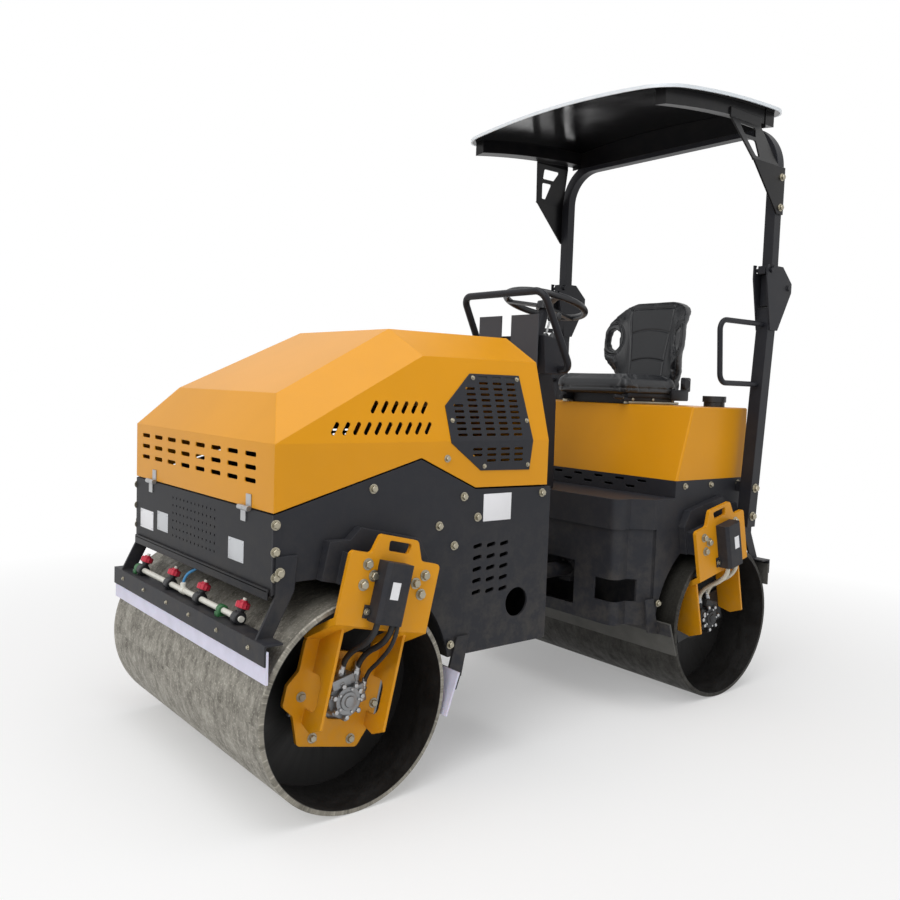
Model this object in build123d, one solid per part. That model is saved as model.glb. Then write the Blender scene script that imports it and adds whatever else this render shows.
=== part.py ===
"""Articulated tandem compaction roller, in millimetres.

+X is the machine's left, -Y is forward and +Z is up. The origin is on the ground, midway between the drums.
The front and the rear half carry mirrored drum gear, so that gear is drawn once, for the front left.
"""

from build123d import *
import os
from math import atan2, cos, degrees, hypot, radians, sin, sqrt, tan

os.makedirs("parts", exist_ok=True)

# Drums
DRUM_D = 700.0
DRUM_W = 1280.0
DRUM_SHELL = 18.0
DRUM_RECESS = 215.0
DRUM_DISC = 16.0
DRUM_EDGE = 4.0
HUB_D = 230.0
HUB_L = 60.0
SPINDLE_D = 90.0
WHEELBASE = 1974.0
RUN_GAP = 0.3

# Frames
BODY_W = 1160.0
PANEL_T = 10.0
SHEET_T = 8.0
ARCH_GAP = 65.0
FRAME_FRONT = 1270.0
FRAME_REAR = 100.0
FRAME_LOW = 427.0
FRONT_PANEL_LOW = 730.0
FRONT_PANEL_TOP = 975.0
LIP_R = 12.0
TAIL_TOP = 852.0
SIDE_PEAK = (720.0, 1130.0)
SIDE_DIP = (476.0, 1019.0)
SIDE_REAR_TOP = 1013.0
SIDE_SLOT = (42.0, 15.0, 10.0)
SIDE_SLOTS = ((-456.0, -328.0, 3), (645.0, 813.0, 5))
SIDE_HOLE = (-256.0, 585.0)
SIDE_HOLE_R = 55.0
PANEL_HOLE_R = 5.0
PANEL_HOLES = ((-200.0, 163.0, 12), (797.0, 938.0, 6))
ENGINE = (400.0, 380.0, 520.0)
ENGINE_HEAD = (250.0, 320.0, 190.0)
CLEANER_R = 85.0

# Hood: brow, shoulder and crown are (in from the side, back from the front, height)
HOOD_T = 4.0
HOOD_SEAM = 6.0
HOOD_REAR = 120.0
HOOD_CREASE = 1190.0
HOOD_BROW = (185.0, 98.0, 1340.0)
HOOD_SHOULDER = (85.0, 605.0, 1482.0)
HOOD_CROWN = (260.0, 580.0, 1578.0)
NOSE_SLOT = (78.0, 15.0)
NOSE_SLOTS = ((-478.0, 420.0, 8), (1066.0, 1149.0, 3))
FLANK_SLOT = (48.0, 15.0, 54.0)
FLANK_ROWS = [((-1054.0, -686.0, 10), 1235.0), ((-894.0, -690.0, 6), 1304.0)]
VENT_T = 3.0
VENT_BORDER = 26.0
VENT_OUTLINE = [
    (-595, 1185), (-457, 1085), (-219, 1081), (-204, 1190), (-226, 1428), (-466, 1428), (-600, 1312),
]
VENT_SLOT = (44.0, 9.0)
VENT_COLUMNS = (-540.0, -276.0, 5)
VENT_ROWS = [(1120.0, 1161.0, 3), (1212.0, 1415.0, 11)]
VENT_MARGIN = 12.0
HINGE_R = 9.0
HINGE_PIN = 4.0
HINGE_X = 400.0
HINGE_L = 70.0

# Drum brackets, in a frame on the drum's axle that leans with the bracket: u to the machine's middle, v up
BRACKET_TILT = 13.0
BRACKET_T = 16.0
MOUNT_T = 80.0
MOUNT_WIDE = 34.0
UPPER_HALF = 180.0
UPPER_LOW = 262.0
UPPER_TOP = 490.0
UPPER_ROUND = 16.0
LOOP_TOP = 555.0
LOOP_SLOT = [(-44, 540), (48, 540), (40, 506), (-40, 506)]
LEG_INSET = 126.0
LEG_TOP = 185.0
LEG_HOLE_R = 80.0
LEG_OUTLINE = [
    (-177, 185), (150, 185), (150, -70), (105, -165), (-125, -165),
    (-165, -70), (-209, -42), (-209, 26), (-177, 75),
]
JOGGLE_V = (-4.0, 14.0)
HOSE_WAY = (-95.0, 88.0)
RIB_T = 10.0
FRONT_RIB = 122.0
FRONT_RIB_LOW = -105.0
REAR_RIB = 158.0
REAR_RIB_LOW = -28.0
RIB_HOLE = (62.0, -45.0, 75.0)
GUARD = (60.0, 104.0, 195.0)
GUARD_U = -16.0
GUARD_LOW = 281.0
GUARD_LIP = (6.0, 20.0, 42.0)
GUARD_CHAMFER = 12.0
HOSE_R = 10.0

# Drive motors
MOTOR_R = 62.0
MOTOR_COVER_R = 46.0
MOTOR_FLANGE = (14.0, 340.0, 150.0)
MOTOR_OUT = 48.0
COVER_OUT = 18.0
PORT_U = 30.0
PORT_R = 14.0
PORT_TOP = 84.0

# Scrapers
SCRAPER_OVER = 15.0
SCRAPER_T = 6.0
SCRAPER_RISE = 255.0
WATER_OVER = 20.0
WATER_R = 10.0
CLAMP_X = (-485.0, 275.0)
JET_X = (-445.0, -170.0, 95.0, 395.0)
JET_R = 15.0
JET_TALL = 44.0
BLADE_T = 8.0
BLADE_GAP = 7.0
ARM_T = 10.0

# Centre joint and steering cylinder
PIVOT_Y = 140.0
PIN_R = 40.0
JOINT_LOW = 440.0
JOINT_HIGH = 650.0
JOINT_PLATE = 25.0
CYL_Z = 560.0
CYL_EYE = (150.0, 40.0)
CYL_PIN = (140.0, 500.0)
BARREL_R = 34.0
ROD_R = 18.0
EYE_DRIFT = 18.0
STROKE = 77.0
BORE_START = 58.0

# Operator platform
PLATFORM_W = 1000.0
PLATFORM_FRONT = 390.0
PLATFORM_BEND = 470.0
PLATFORM_ROUND = 38.0
PLATFORM_LOW = 377.0
FLOOR_TOP = 925.0
SKIRT_LOW = 795.0
SKIRT_T = 10.0
STEP_HOLE = (112.0, 112.0, 478.0, 575.0)
ROD_HOLE = (60.0, 268.0, 430.0, 626.0)
RISER_SLOT = (52.0, 10.0)
RISER_ROWS = [((-390.0, 390.0, 7), 982.0), ((-325.0, 325.0, 6), 952.0)]
TANK_LOW = 1000.0
TANK_TOP = 1325.0
TANK_FRONT_LOW = 675.0
TANK_FRONT_TOP = 772.0
TANK_REAR = 1190.0
TANK_ROUND = 9.0
SEAT_W = 490.0
SEAT_LOW = 1378.0
SEAT_TOP = 1466.0
SEAT_FRONT = 700.0
SEAT_ROUND = 34.0
BACK_TOP = 1860.0
BACK_T = 60.0
BACK_LEAN = 60.0
BACK_ROUND = 9.0
BACK_HALF = [(150, 0), (165, 0.22), (245, 0.45), (245, 0.70), (205, 0.90), (130, 1)]
WING_PLAN = [(150, 0), (210, -55), (245, -55), (245, 35), (200, BACK_T)]
WING_HOLE = (203.0, 1660.0, 100.0, 40.0)
CONSOLE_W = 120.0
CONSOLE_SIDE = [(395, 0), (445, 0), (440, 400), (376, 640), (260, 640), (335, 400)]
POD_W = 380.0
POD_SIDE = [(235, 525), (376, 525), (376, 665), (218, 690)]
DASH_T = 6.0
DASH_Y = 192.0
DASH_Z = (555.0, 780.0)
DASH_X = [(-212.0, -61.0), (5.0, 176.0)]
ARM_Z = (585.0, 620.0)
COLUMN_R = 24.0
HANDRAIL = [(150, 330, 545), (275, 300, 545), (262, 133, 870)]
HANDRAIL_BEND = 50.0

# Steering wheel
WHEEL_R = 185.0
WHEEL_RIM = 15.0
WHEEL_TILT = 15.0
WHEEL_AT = (405.0, 1772.0)

# Roll bar and canopy
POST_GAP = 37.0
POST_W = 60.0
POST_D = 60.0
POST_LOW = 780.0
POST_SPLIT = 1795.0
POST_SEAM = 10.0
POST_LEAN = 4.5
POST_FEET = (830.0, 960.0)
FOOT_H = 46.0
HOOP_W = 50.0
HOOP_Y = 1199.0
HOOP_TOP = 2610.0
HOOP_BEND = 190.0
FOLD_PIN = (1300.0, 1885.0)
FOLD_PIN_R = 13.0
LOCK_BOLT = (1148.0, 1955.0)
LOCK_R = 9.0
LOCK_CLEAR = 5.0
LUG_T = 7.0
EAR_W = 44.0
CANOPY_W = 1290.0
CANOPY_FRONT = 385.0
CANOPY_REAR = 1312.0
CANOPY_OVER = 105.0
CANOPY_RISE = 4.6
CANOPY_DOME = 5200.0
CANOPY_T = 8.0
CANOPY_LIP = 14.0
CANOPY_CORNER = 130.0
LINER_T = 6.0
LINER_INSET = 9.0
RAIL_X = (540.0, 596.0)
RAIL_H = 62.0
RAIL_END = 70.0
HORN_T = 8.0
HORN_DROP = 400.0
HORN_KNEE = 190.0
HORN_TOP = 10.0
HORN_REACH = 229.0
HORN_HOLES = [
    [(-244, 160), (-124, 160), (-149, 112), (-234, 112)],
    [(-231, 94), (-157, 94), (-169, 16), (-199, 16)],
]
PAD_X = 300.0
GRAB_R = 12.0
GRAB_BEND = 45.0
GRAB_LOW = (858.0, 1436.0)
GRAB_TOP = (835.0, 1712.0)
RAIL_R = 16.0

# Worked out from the above
DRUM_R = DRUM_D / 2
AXLE_Y = WHEELBASE / 2
HALF = BODY_W / 2
ARCH_R = DRUM_R + ARCH_GAP
UPPER_X = HALF + MOUNT_T
LEG_X = DRUM_W / 2 - LEG_INSET
PORT_X = LEG_X + BRACKET_T + PORT_R + 2
SCRAPER_HALF = DRUM_W / 2 + SCRAPER_OVER
POST_X = HALF + POST_GAP + POST_W / 2
PLATFORM_BACK = AXLE_Y - ARCH_R - 6


def block(x, y, z):
    """Box from three (low, high) pairs."""
    spans = (x, y, z)
    return Pos(*(sum(s) / 2 for s in spans)) * Box(*(s[1] - s[0] for s in spans))


def plate_x(points, x_low, thick, round_r=0):
    """Outline of (y, z) points, thick along +X."""
    face = Polygon(*points, align=None)
    if round_r:
        face = fillet(face.vertices(), round_r)
    return extrude(Plane.YZ.offset(x_low) * face, amount=thick, dir=(1, 0, 0))


def rod_x(radius, x_low, x_high, y, z):
    return Pos((x_low + x_high) / 2, y, z) * Rot(0, 90, 0) * Cylinder(radius, x_high - x_low)


def rod_z(radius, x, y, z_low, z_high):
    return Pos(x, y, (z_low + z_high) / 2) * Cylinder(radius, z_high - z_low)


def tube(points, radius, bend):
    """Round bar along straight runs with bends of one radius."""
    path = FilletPolyline(*points, radius=bend)
    return sweep(Plane(path @ 0, z_dir=path % 0) * Circle(radius), path=path)


def pair(shape):
    """A left piece and its right mirror image, as two solids."""
    return Compound([*shape.solids(), *mirror(shape, about=Plane.YZ).solids()])


def on_axle(shape):
    """From the front left bracket's leaning frame to the machine."""
    return Pos(0, -AXLE_Y, DRUM_R) * Rot(-BRACKET_TILT, 0, 0) * shape


def to_rear(shape):
    return mirror(shape, about=Plane.XZ)


def spread(low, high, count):
    return [low + (high - low) * i / (count - 1) for i in range(count)]


def slots(places, length, width, turn=0):
    """Slots with cut corners at places of a plane."""
    one = chamfer(Rectangle(length, width).vertices(), 0.3 * width)
    return Sketch() + [Pos(*p) * Rot(0, 0, turn) * one for p in places]


def grid(across, up):
    """Places of a pattern from two (low, high, count) spans."""
    return [(a, b) for a in spread(*across) for b in spread(*up)]


def drum(y):
    """Shell, two discs and two hubs, turned about the axle."""
    half = DRUM_W / 2
    disc = half - DRUM_RECESS
    inner = DRUM_R - DRUM_SHELL
    bore = SPINDLE_D / 2 + RUN_GAP
    side = [
        (half - DRUM_EDGE, DRUM_R),
        (half, DRUM_R - DRUM_EDGE),
        (half, inner),
        (disc, inner),
        (disc, HUB_D / 2),
        (disc + HUB_L, HUB_D / 2),
        (disc + HUB_L, bore),
        (disc - DRUM_DISC, bore),
        (disc - DRUM_DISC, inner),
    ]
    section = Polygon(*side, *((-x, r) for x, r in reversed(side)), align=None)
    return Pos(0, y, DRUM_R) * revolve(section, axis=Axis.X)


def arch_profile():
    """Front frame's side outline, with (y, z) arcs round the drum."""
    rise = sqrt(ARCH_R**2 - (FRAME_LOW - DRUM_R) ** 2)
    foot = (-AXLE_Y + rise, FRAME_LOW)
    crest = (-AXLE_Y, DRUM_R + ARCH_R)
    mid = (-AXLE_Y + ARCH_R * cos(radians(50)), DRUM_R + ARCH_R * sin(radians(50)))
    arch = ThreePointArc(foot, mid, crest)
    rest = Polyline(
        crest,
        (-FRAME_FRONT + 80, DRUM_R + ARCH_R),
        (-FRAME_FRONT, FRONT_PANEL_LOW),
        (-FRAME_FRONT, FRONT_PANEL_TOP),
        (-SIDE_PEAK[0], SIDE_PEAK[1]),
        (-SIDE_DIP[0], SIDE_DIP[1]),
        (-FRAME_REAR, SIDE_REAR_TOP),
        (-FRAME_REAR, FRAME_LOW),
        foot,
    )
    return make_face([*arch.edges(), *rest.edges()])


def front_side_panels():
    face = arch_profile() - slots(grid(*SIDE_SLOTS), *SIDE_SLOT) - Pos(*SIDE_HOLE) * Circle(SIDE_HOLE_R)
    return pair(extrude(Plane.YZ.offset(HALF - PANEL_T) * face, amount=PANEL_T, dir=(1, 0, 0)))


def front_tub():
    """Drum arch, floor, front panel and rear bulkhead between the side panels."""
    outline = arch_profile()
    inside = offset(outline, -SHEET_T, kind=Kind.INTERSECTION)
    walls = outline - inside - Pos(0, 60) * inside
    tub = extrude(Plane.YZ * walls, amount=HALF - PANEL_T, both=True)
    lip = rod_x(LIP_R, -HALF + PANEL_T, HALF - PANEL_T, -FRAME_FRONT + LIP_R, FRONT_PANEL_LOW)
    holes = Sketch() + [Pos(*p) * RegularPolygon(PANEL_HOLE_R, 6) for p in grid(*PANEL_HOLES)]
    return tub + lip - extrude(Plane.XZ.offset(FRAME_FRONT) * holes, amount=SHEET_T, dir=(0, 1, 0))


def engine_block():
    """Crankcase, head and round air cleaner."""
    width, length, height = ENGINE
    head_w, head_l, head_h = ENGINE_HEAD
    mid = -FRAME_REAR - SHEET_T - 70 - length / 2
    low = FRAME_LOW + SHEET_T
    top = low + height
    body = block((-width / 2, width / 2), (mid - length / 2, mid + length / 2), (low, top))
    body += block((-head_w / 2, head_w / 2), (mid - head_l / 2, mid + head_l / 2), (top, top + head_h))
    return body + rod_x(CLEANER_R, -width / 2, width / 2, mid, top + head_h + CLEANER_R - 20)


def hood_solid(inset):
    """Faceted hood block, every face moved in by inset."""
    brow, shoulder, crown = (
        Vector(HALF - in_by, -FRAME_FRONT + back_by, height)
        for in_by, back_by, height in (HOOD_BROW, HOOD_SHOULDER, HOOD_CROWN)
    )
    body = block(
        (-HALF + inset, HALF - inset),
        (-FRAME_FRONT + inset, -HOOD_REAR - inset),
        (FRONT_PANEL_TOP - 50, crown.Z - inset),
    )
    corner = Vector(HALF, -FRAME_FRONT, HOOD_CREASE)
    ahead, across = Vector(0, -1, 0), Vector(-1, 0, 0)
    # Each facet: a point on it and two directions along it
    facets = [
        (corner, across, brow - corner),
        (brow, across, crown - brow),
        (corner, ahead, Vector(shoulder.X - HALF, 0, shoulder.Z - HOOD_CREASE)),
        (shoulder, ahead, Vector(crown.X - shoulder.X, 0, crown.Z - shoulder.Z)),
        (corner, brow - corner, shoulder - corner),
    ]
    for point, one, two in facets:
        normal = one.cross(two).normalized()
        if normal.Z < 0:
            normal = -normal
        start = point - normal * inset
        cutter = Plane(start, z_dir=normal) * Pos(0, 0, 1500) * Box(6000, 6000, 3000)
        body = body - cutter - mirror(cutter, about=Plane.YZ)
    return body


def hood_shell():
    skirt = plate_x(
        [
            (-FRAME_FRONT - 50, 0),
            (-FRAME_FRONT - 50, FRONT_PANEL_TOP + HOOD_SEAM),
            (-FRAME_FRONT, FRONT_PANEL_TOP + HOOD_SEAM),
            (-SIDE_PEAK[0], SIDE_PEAK[1] + HOOD_SEAM),
            (-SIDE_DIP[0], SIDE_DIP[1] + HOOD_SEAM),
            (0, SIDE_REAR_TOP + HOOD_SEAM),
            (0, 0),
        ],
        -HALF - 50,
        BODY_W + 100,
    )
    window = offset(Polygon(*VENT_OUTLINE, align=None), -VENT_BORDER, kind=Kind.INTERSECTION)
    window = extrude(Plane.YZ * window, amount=BODY_W, both=True)
    nose = Plane.XZ.offset(FRAME_FRONT) * slots(grid(*NOSE_SLOTS), *NOSE_SLOT)
    flank = slots([(y, z) for span, z in FLANK_ROWS for y in spread(*span)], *FLANK_SLOT)
    flank = extrude(Plane.YZ * flank, amount=BODY_W, both=True)
    nose = extrude(nose, amount=2 * HOOD_T, dir=(0, 1, 0))
    return hood_solid(0) - hood_solid(HOOD_T) - skirt - window - nose - flank


def hood_vents():
    """Slotted panels over the hood's side windows, folded along the hood's crease."""
    layer = hood_solid(-VENT_T) - hood_solid(0)
    open_face = offset(Polygon(*VENT_OUTLINE, align=None), -VENT_MARGIN, kind=Kind.INTERSECTION).face()
    reach = VENT_SLOT[0] / 2
    places = [
        (y, z)
        for rows in VENT_ROWS
        for y, z in grid(VENT_COLUMNS, rows)
        if all(open_face.is_inside((y + end, z, 0)) for end in (-reach, reach))
    ]
    face = Polygon(*VENT_OUTLINE, align=None) - slots(places, *VENT_SLOT)
    return pair(layer & extrude(Plane.YZ * face, amount=BODY_W, dir=(1, 0, 0)))


def bracket_upper():
    """Plate on the mount block, with the tie-down loop on top."""
    outline = [
        (-UPPER_HALF, UPPER_LOW),
        (UPPER_HALF, UPPER_LOW),
        (UPPER_HALF, UPPER_TOP),
        (100, UPPER_TOP),
        (70, LOOP_TOP),
        (-82, LOOP_TOP),
        (-102, UPPER_TOP),
        (-UPPER_HALF, UPPER_TOP),
    ]
    plate = plate_x(outline, UPPER_X, BRACKET_T, UPPER_ROUND)
    return plate - plate_x(LOOP_SLOT, UPPER_X, BRACKET_T, UPPER_ROUND / 2)


def joggle():
    """Sloping shelf from the upper plate in to the leg, open in the middle for the hoses."""
    low, high = JOGGLE_V
    outer = UPPER_X + BRACKET_T
    face = Polygon(
        (UPPER_X, UPPER_LOW + high),
        (outer, UPPER_LOW + high),
        (outer, UPPER_LOW + low),
        (LEG_X + BRACKET_T, LEG_TOP + low),
        (LEG_X, LEG_TOP + low),
        (LEG_X, LEG_TOP + high),
        align=None,
    )
    shelf = extrude(Plane.XZ * face, amount=UPPER_HALF, both=True)
    return shelf - block((0, UPPER_X), HOSE_WAY, (0, LOOP_TOP))


def rib(u, x_low, x_high, low, hole=None):
    """Gusset under the joggle: it stands on the leg and ends in a blunt point."""
    face = Polygon(
        (x_low, low + 15),
        ((x_low + x_high) / 2, low),
        (x_high, low + 25),
        (x_high, UPPER_LOW - 15),
        (x_low, LEG_TOP),
        align=None,
    )
    if hole:
        deep, bottom, top = hole
        face -= Pos(x_low, (bottom + top) / 2) * RectangleRounded(2 * deep, top - bottom, deep / 2)
    return extrude(Plane.XZ.offset(-u - RIB_T / 2) * face, amount=RIB_T, dir=(0, -1, 0))


def front_bracket():
    """Upper plate, joggle, leg with the motor's hole, and two ribs with holes for the bolts."""
    leg = plate_x(LEG_OUTLINE, LEG_X, BRACKET_T, UPPER_ROUND)
    hole = Plane.YZ.offset(LEG_X) * RegularPolygon(LEG_HOLE_R, 8, rotation=22.5)
    leg -= extrude(hole, amount=BRACKET_T, dir=(1, 0, 0))
    leg -= block((LEG_X, UPPER_X), HOSE_WAY, (LEG_TOP - 35, LEG_TOP))
    body = bracket_upper() + joggle() + leg
    for u in (-FRONT_RIB, FRONT_RIB):
        body += rib(u, LEG_X + BRACKET_T, DRUM_W / 2, FRONT_RIB_LOW, RIB_HOLE)
    return body


def rear_bracket():
    """Upper plate, joggle and two deep ribs that stand on the motor's flange."""
    body = bracket_upper() + joggle()
    for u in (-REAR_RIB, REAR_RIB):
        body += rib(u, LEG_X, DRUM_W / 2, REAR_RIB_LOW)
    return body


def mount_block():
    """Two welded layers that carry the bracket on the frame's side."""
    low = ARCH_R - 40
    wide = [(-222, low), (175, low), (175, 500), (120, 560), (-120, 560), (-150, 515), (-222, 500)]
    narrow = [(-168, low), (165, low), (165, UPPER_TOP - 14), (-168, UPPER_TOP - 14)]
    return plate_x(wide, HALF, MOUNT_WIDE) + plate_x(narrow, HALF + MOUNT_WIDE, MOUNT_T - MOUNT_WIDE)


def drive_motor():
    """Flange behind the leg, spindle to the drum, round body with its cover and two ports."""
    thick, across, tall = MOTOR_FLANGE
    body = block((LEG_X - thick, LEG_X), (-across / 2, across / 2), (-tall / 2, tall / 2))
    spindle_end = DRUM_W / 2 - DRUM_RECESS - DRUM_DISC
    body += rod_x(SPINDLE_D / 2, spindle_end, LEG_X - thick, 0, 0)
    body += rod_x(MOTOR_R, LEG_X, LEG_X + MOTOR_OUT, 0, 0)
    body += rod_x(MOTOR_COVER_R, LEG_X + MOTOR_OUT, LEG_X + MOTOR_OUT + COVER_OUT, 0, 0)
    for side in (-1, 1):
        body += rod_z(PORT_R, PORT_X, side * PORT_U, 0, PORT_TOP)
    return body


def hose_guard():
    """Folded box over the hoses with a bolted lip at each side."""
    depth, across, tall = GUARD
    lip_t, lip_w, lip_h = GUARD_LIP
    low, high = GUARD_U - across / 2, GUARD_U + across / 2
    start = UPPER_X + BRACKET_T
    box = block((start, start + depth), (low, high), (GUARD_LOW, GUARD_LOW + tall))
    box = chamfer(box.faces().sort_by(Axis.X)[-1].edges().filter_by(Axis.Z), GUARD_CHAMFER)
    lip_low = GUARD_LOW + lip_t
    return box + block((start, start + lip_t), (low - lip_w, high + lip_w), (lip_low, lip_low + lip_h))


def hoses():
    """From the guard's open bottom, through the joggle's gap, to the motor's ports."""
    x_guard = UPPER_X + BRACKET_T + GUARD[0] / 2
    runs = []
    for side in (-1, 1):
        top, foot = GUARD_U + side * PORT_U, side * PORT_U
        path = [
            (x_guard, top, GUARD_LOW),
            (x_guard, top, UPPER_LOW - 35),
            (PORT_X, foot, PORT_TOP + 60),
            (PORT_X, foot, PORT_TOP),
        ]
        runs += tube(path, HOSE_R, 45).solids()
    return Compound(runs)


def outer_scraper():
    """Bar and arms in front of the drum; the blade is a node of its own."""
    top = DRUM_R + SCRAPER_RISE
    tip_z = top - 120
    face_y = -AXLE_Y - sqrt(DRUM_R**2 - (tip_z - DRUM_R) ** 2) - BLADE_GAP
    bar_y = face_y - BLADE_T
    bar = block((-SCRAPER_HALF, SCRAPER_HALF), (bar_y - SCRAPER_T, bar_y), (tip_z + 55, top))
    bar += block((-SCRAPER_HALF, SCRAPER_HALF), (bar_y, bar_y + 55), (top - SCRAPER_T, top))
    arm = plate_x(
        [
            (bar_y, top),
            (bar_y + 55, top),
            (-FRAME_FRONT + 70, FRONT_PANEL_LOW + 10),
            (-FRAME_FRONT + 80, FRONT_PANEL_LOW + 120),
            (-FRAME_FRONT + 8, FRONT_PANEL_LOW + 120),
            (-FRAME_FRONT + 8, FRONT_PANEL_LOW),
        ],
        HALF,
        ARM_T,
    )
    blade = block((-SCRAPER_HALF, SCRAPER_HALF), (bar_y, bar_y + BLADE_T), (tip_z, tip_z + 100))
    return bar + arm + mirror(arm, about=Plane.YZ), blade


def inner_scraper():
    """Bar and arms behind the drum."""
    tip = (-AXLE_Y + sqrt(DRUM_R**2 - 100**2) + BLADE_GAP + 4, DRUM_R - 100)
    heel = (tip[0] + 52, tip[1] + 145)
    lean = atan2(heel[0] - tip[0], heel[1] - tip[1])
    across = (BLADE_T * cos(lean), -BLADE_T * sin(lean))
    blade = plate_x(
        [tip, heel, (heel[0] + across[0], heel[1] + across[1]), (tip[0] + across[0], tip[1] + across[1])],
        -SCRAPER_HALF,
        2 * SCRAPER_HALF,
    )
    back = (heel[0] + across[0], heel[1] + across[1])
    down = (sin(lean) * 60, cos(lean) * 60)
    bar = plate_x(
        [
            back,
            (back[0] + SCRAPER_T, back[1]),
            (back[0] + SCRAPER_T - down[0], back[1] - down[1]),
            (back[0] - down[0], back[1] - down[1]),
        ],
        -SCRAPER_HALF,
        2 * SCRAPER_HALF,
    )
    arm = plate_x(
        [
            (back[0] + SCRAPER_T, back[1]),
            (back[0] + SCRAPER_T - down[0], back[1] - down[1]),
            (back[0] + 60, back[1] - 40),
            (back[0] + 90, FRAME_LOW + 70),
            (back[0] + 35, FRAME_LOW + 70),
        ],
        HALF,
        ARM_T,
    )
    return bar + arm + mirror(arm, about=Plane.YZ), blade


def sprinkler():
    """Water pipe on two clamps over the scraper's flange, with the nozzles on it."""
    flange = DRUM_R + SCRAPER_RISE
    pipe_y, pipe_z = -FRAME_FRONT - 20, flange + WATER_OVER
    pipe = rod_x(WATER_R, JET_X[0] - 60, JET_X[-1] + 25, pipe_y, pipe_z)
    for x in CLAMP_X:
        pipe += block((x - 12, x + 12), (pipe_y - 14, pipe_y + 14), (flange + 0.3, pipe_z + 6))
    low = pipe_z + WATER_R + 0.3
    jets = [rod_z(JET_R, x, pipe_y, low, low + JET_TALL) for x in JET_X]
    return pipe, Compound([s for j in jets for s in j.solids()])


def front_yoke():
    """Two plates on the front bulkhead, the pivot pin and the cylinder's lug."""
    body = rod_z(PIN_R, 0, PIVOT_Y, JOINT_LOW, JOINT_HIGH)
    for z in (JOINT_LOW, JOINT_HIGH - JOINT_PLATE):
        body += block((-90, 90), (-FRAME_REAR, PIVOT_Y), (z, z + JOINT_PLATE))
        body += rod_z(90, 0, PIVOT_Y, z, z + JOINT_PLATE)
    eye_x, eye_y = CYL_EYE
    for z in (CYL_Z - 48, CYL_Z + 28):
        body += block((eye_x - 35, eye_x + 35), (-FRAME_REAR, eye_y), (z, z + 20))
        body += rod_z(35, eye_x, eye_y, z, z + 20)
    return body + rod_z(14, eye_x, eye_y, CYL_Z - 48, CYL_Z + 48)


def rear_yoke():
    """Bearing block between the yoke's plates, on the platform's front wall."""
    low, high = JOINT_LOW + JOINT_PLATE + 6, JOINT_HIGH - JOINT_PLATE - 6
    body = block((-75, 75), (PIVOT_Y, PLATFORM_FRONT), (low, high)) + rod_z(75, 0, PIVOT_Y, low, high)
    body -= rod_z(PIN_R + RUN_GAP, 0, PIVOT_Y, low, high)
    # Lug that carries the cylinder's barrel, behind the opening in the platform's wall
    x, y = CYL_PIN
    for z in (CYL_Z - 58, CYL_Z + 38):
        body += block((x - 35, x + 35), (y - 35, PLATFORM_BACK - SHEET_T), (z, z + 20))
    return body


def cylinder():
    """Barrel on the rear frame's pin, and the rod with its eye on the front frame's pin."""
    run = Vector(CYL_EYE[0] - CYL_PIN[0], CYL_EYE[1] - CYL_PIN[1], 0)
    axis = Plane((CYL_PIN[0], CYL_PIN[1], CYL_Z), z_dir=run.normalized())
    length = run.length
    barrel_l = length * 0.62
    barrel = axis * (Pos(0, 0, barrel_l / 2) * Cylinder(BARREL_R, barrel_l))
    barrel += rod_z(38, *CYL_PIN, CYL_Z - 37.7, CYL_Z + 37.7)
    barrel -= axis * (Pos(0, 0, barrel_l / 2 + BORE_START) * Cylinder(ROD_R + RUN_GAP, barrel_l))
    rod_start = BORE_START + STROKE + 14
    rod = axis * (Pos(0, 0, (rod_start + length) / 2) * Cylinder(ROD_R, length - rod_start))
    hole = 14 + EYE_DRIFT
    rod += rod_z(hole + 14, *CYL_EYE, CYL_Z - 22, CYL_Z + 22)
    rod -= rod_z(hole, *CYL_EYE, CYL_Z - 30, CYL_Z + 30)
    return barrel, rod


def platform_plan(grow=0):
    """Top view of the platform box: narrow ahead, then out to the side panels."""
    wide = HALF - PANEL_T
    half = [
        (PLATFORM_W / 2, PLATFORM_FRONT),
        (PLATFORM_W / 2, PLATFORM_BEND),
        (wide, PLATFORM_BACK - 3 * SHEET_T),
        (wide, PLATFORM_BACK),
    ]
    face = Polygon(*half, *((-x, y) for x, y in reversed(half)), align=None)
    face = fillet(face.vertices().sort_by(Axis.Y)[:2], PLATFORM_ROUND)
    return offset(face, grow, kind=Kind.INTERSECTION) if grow else face


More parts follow.
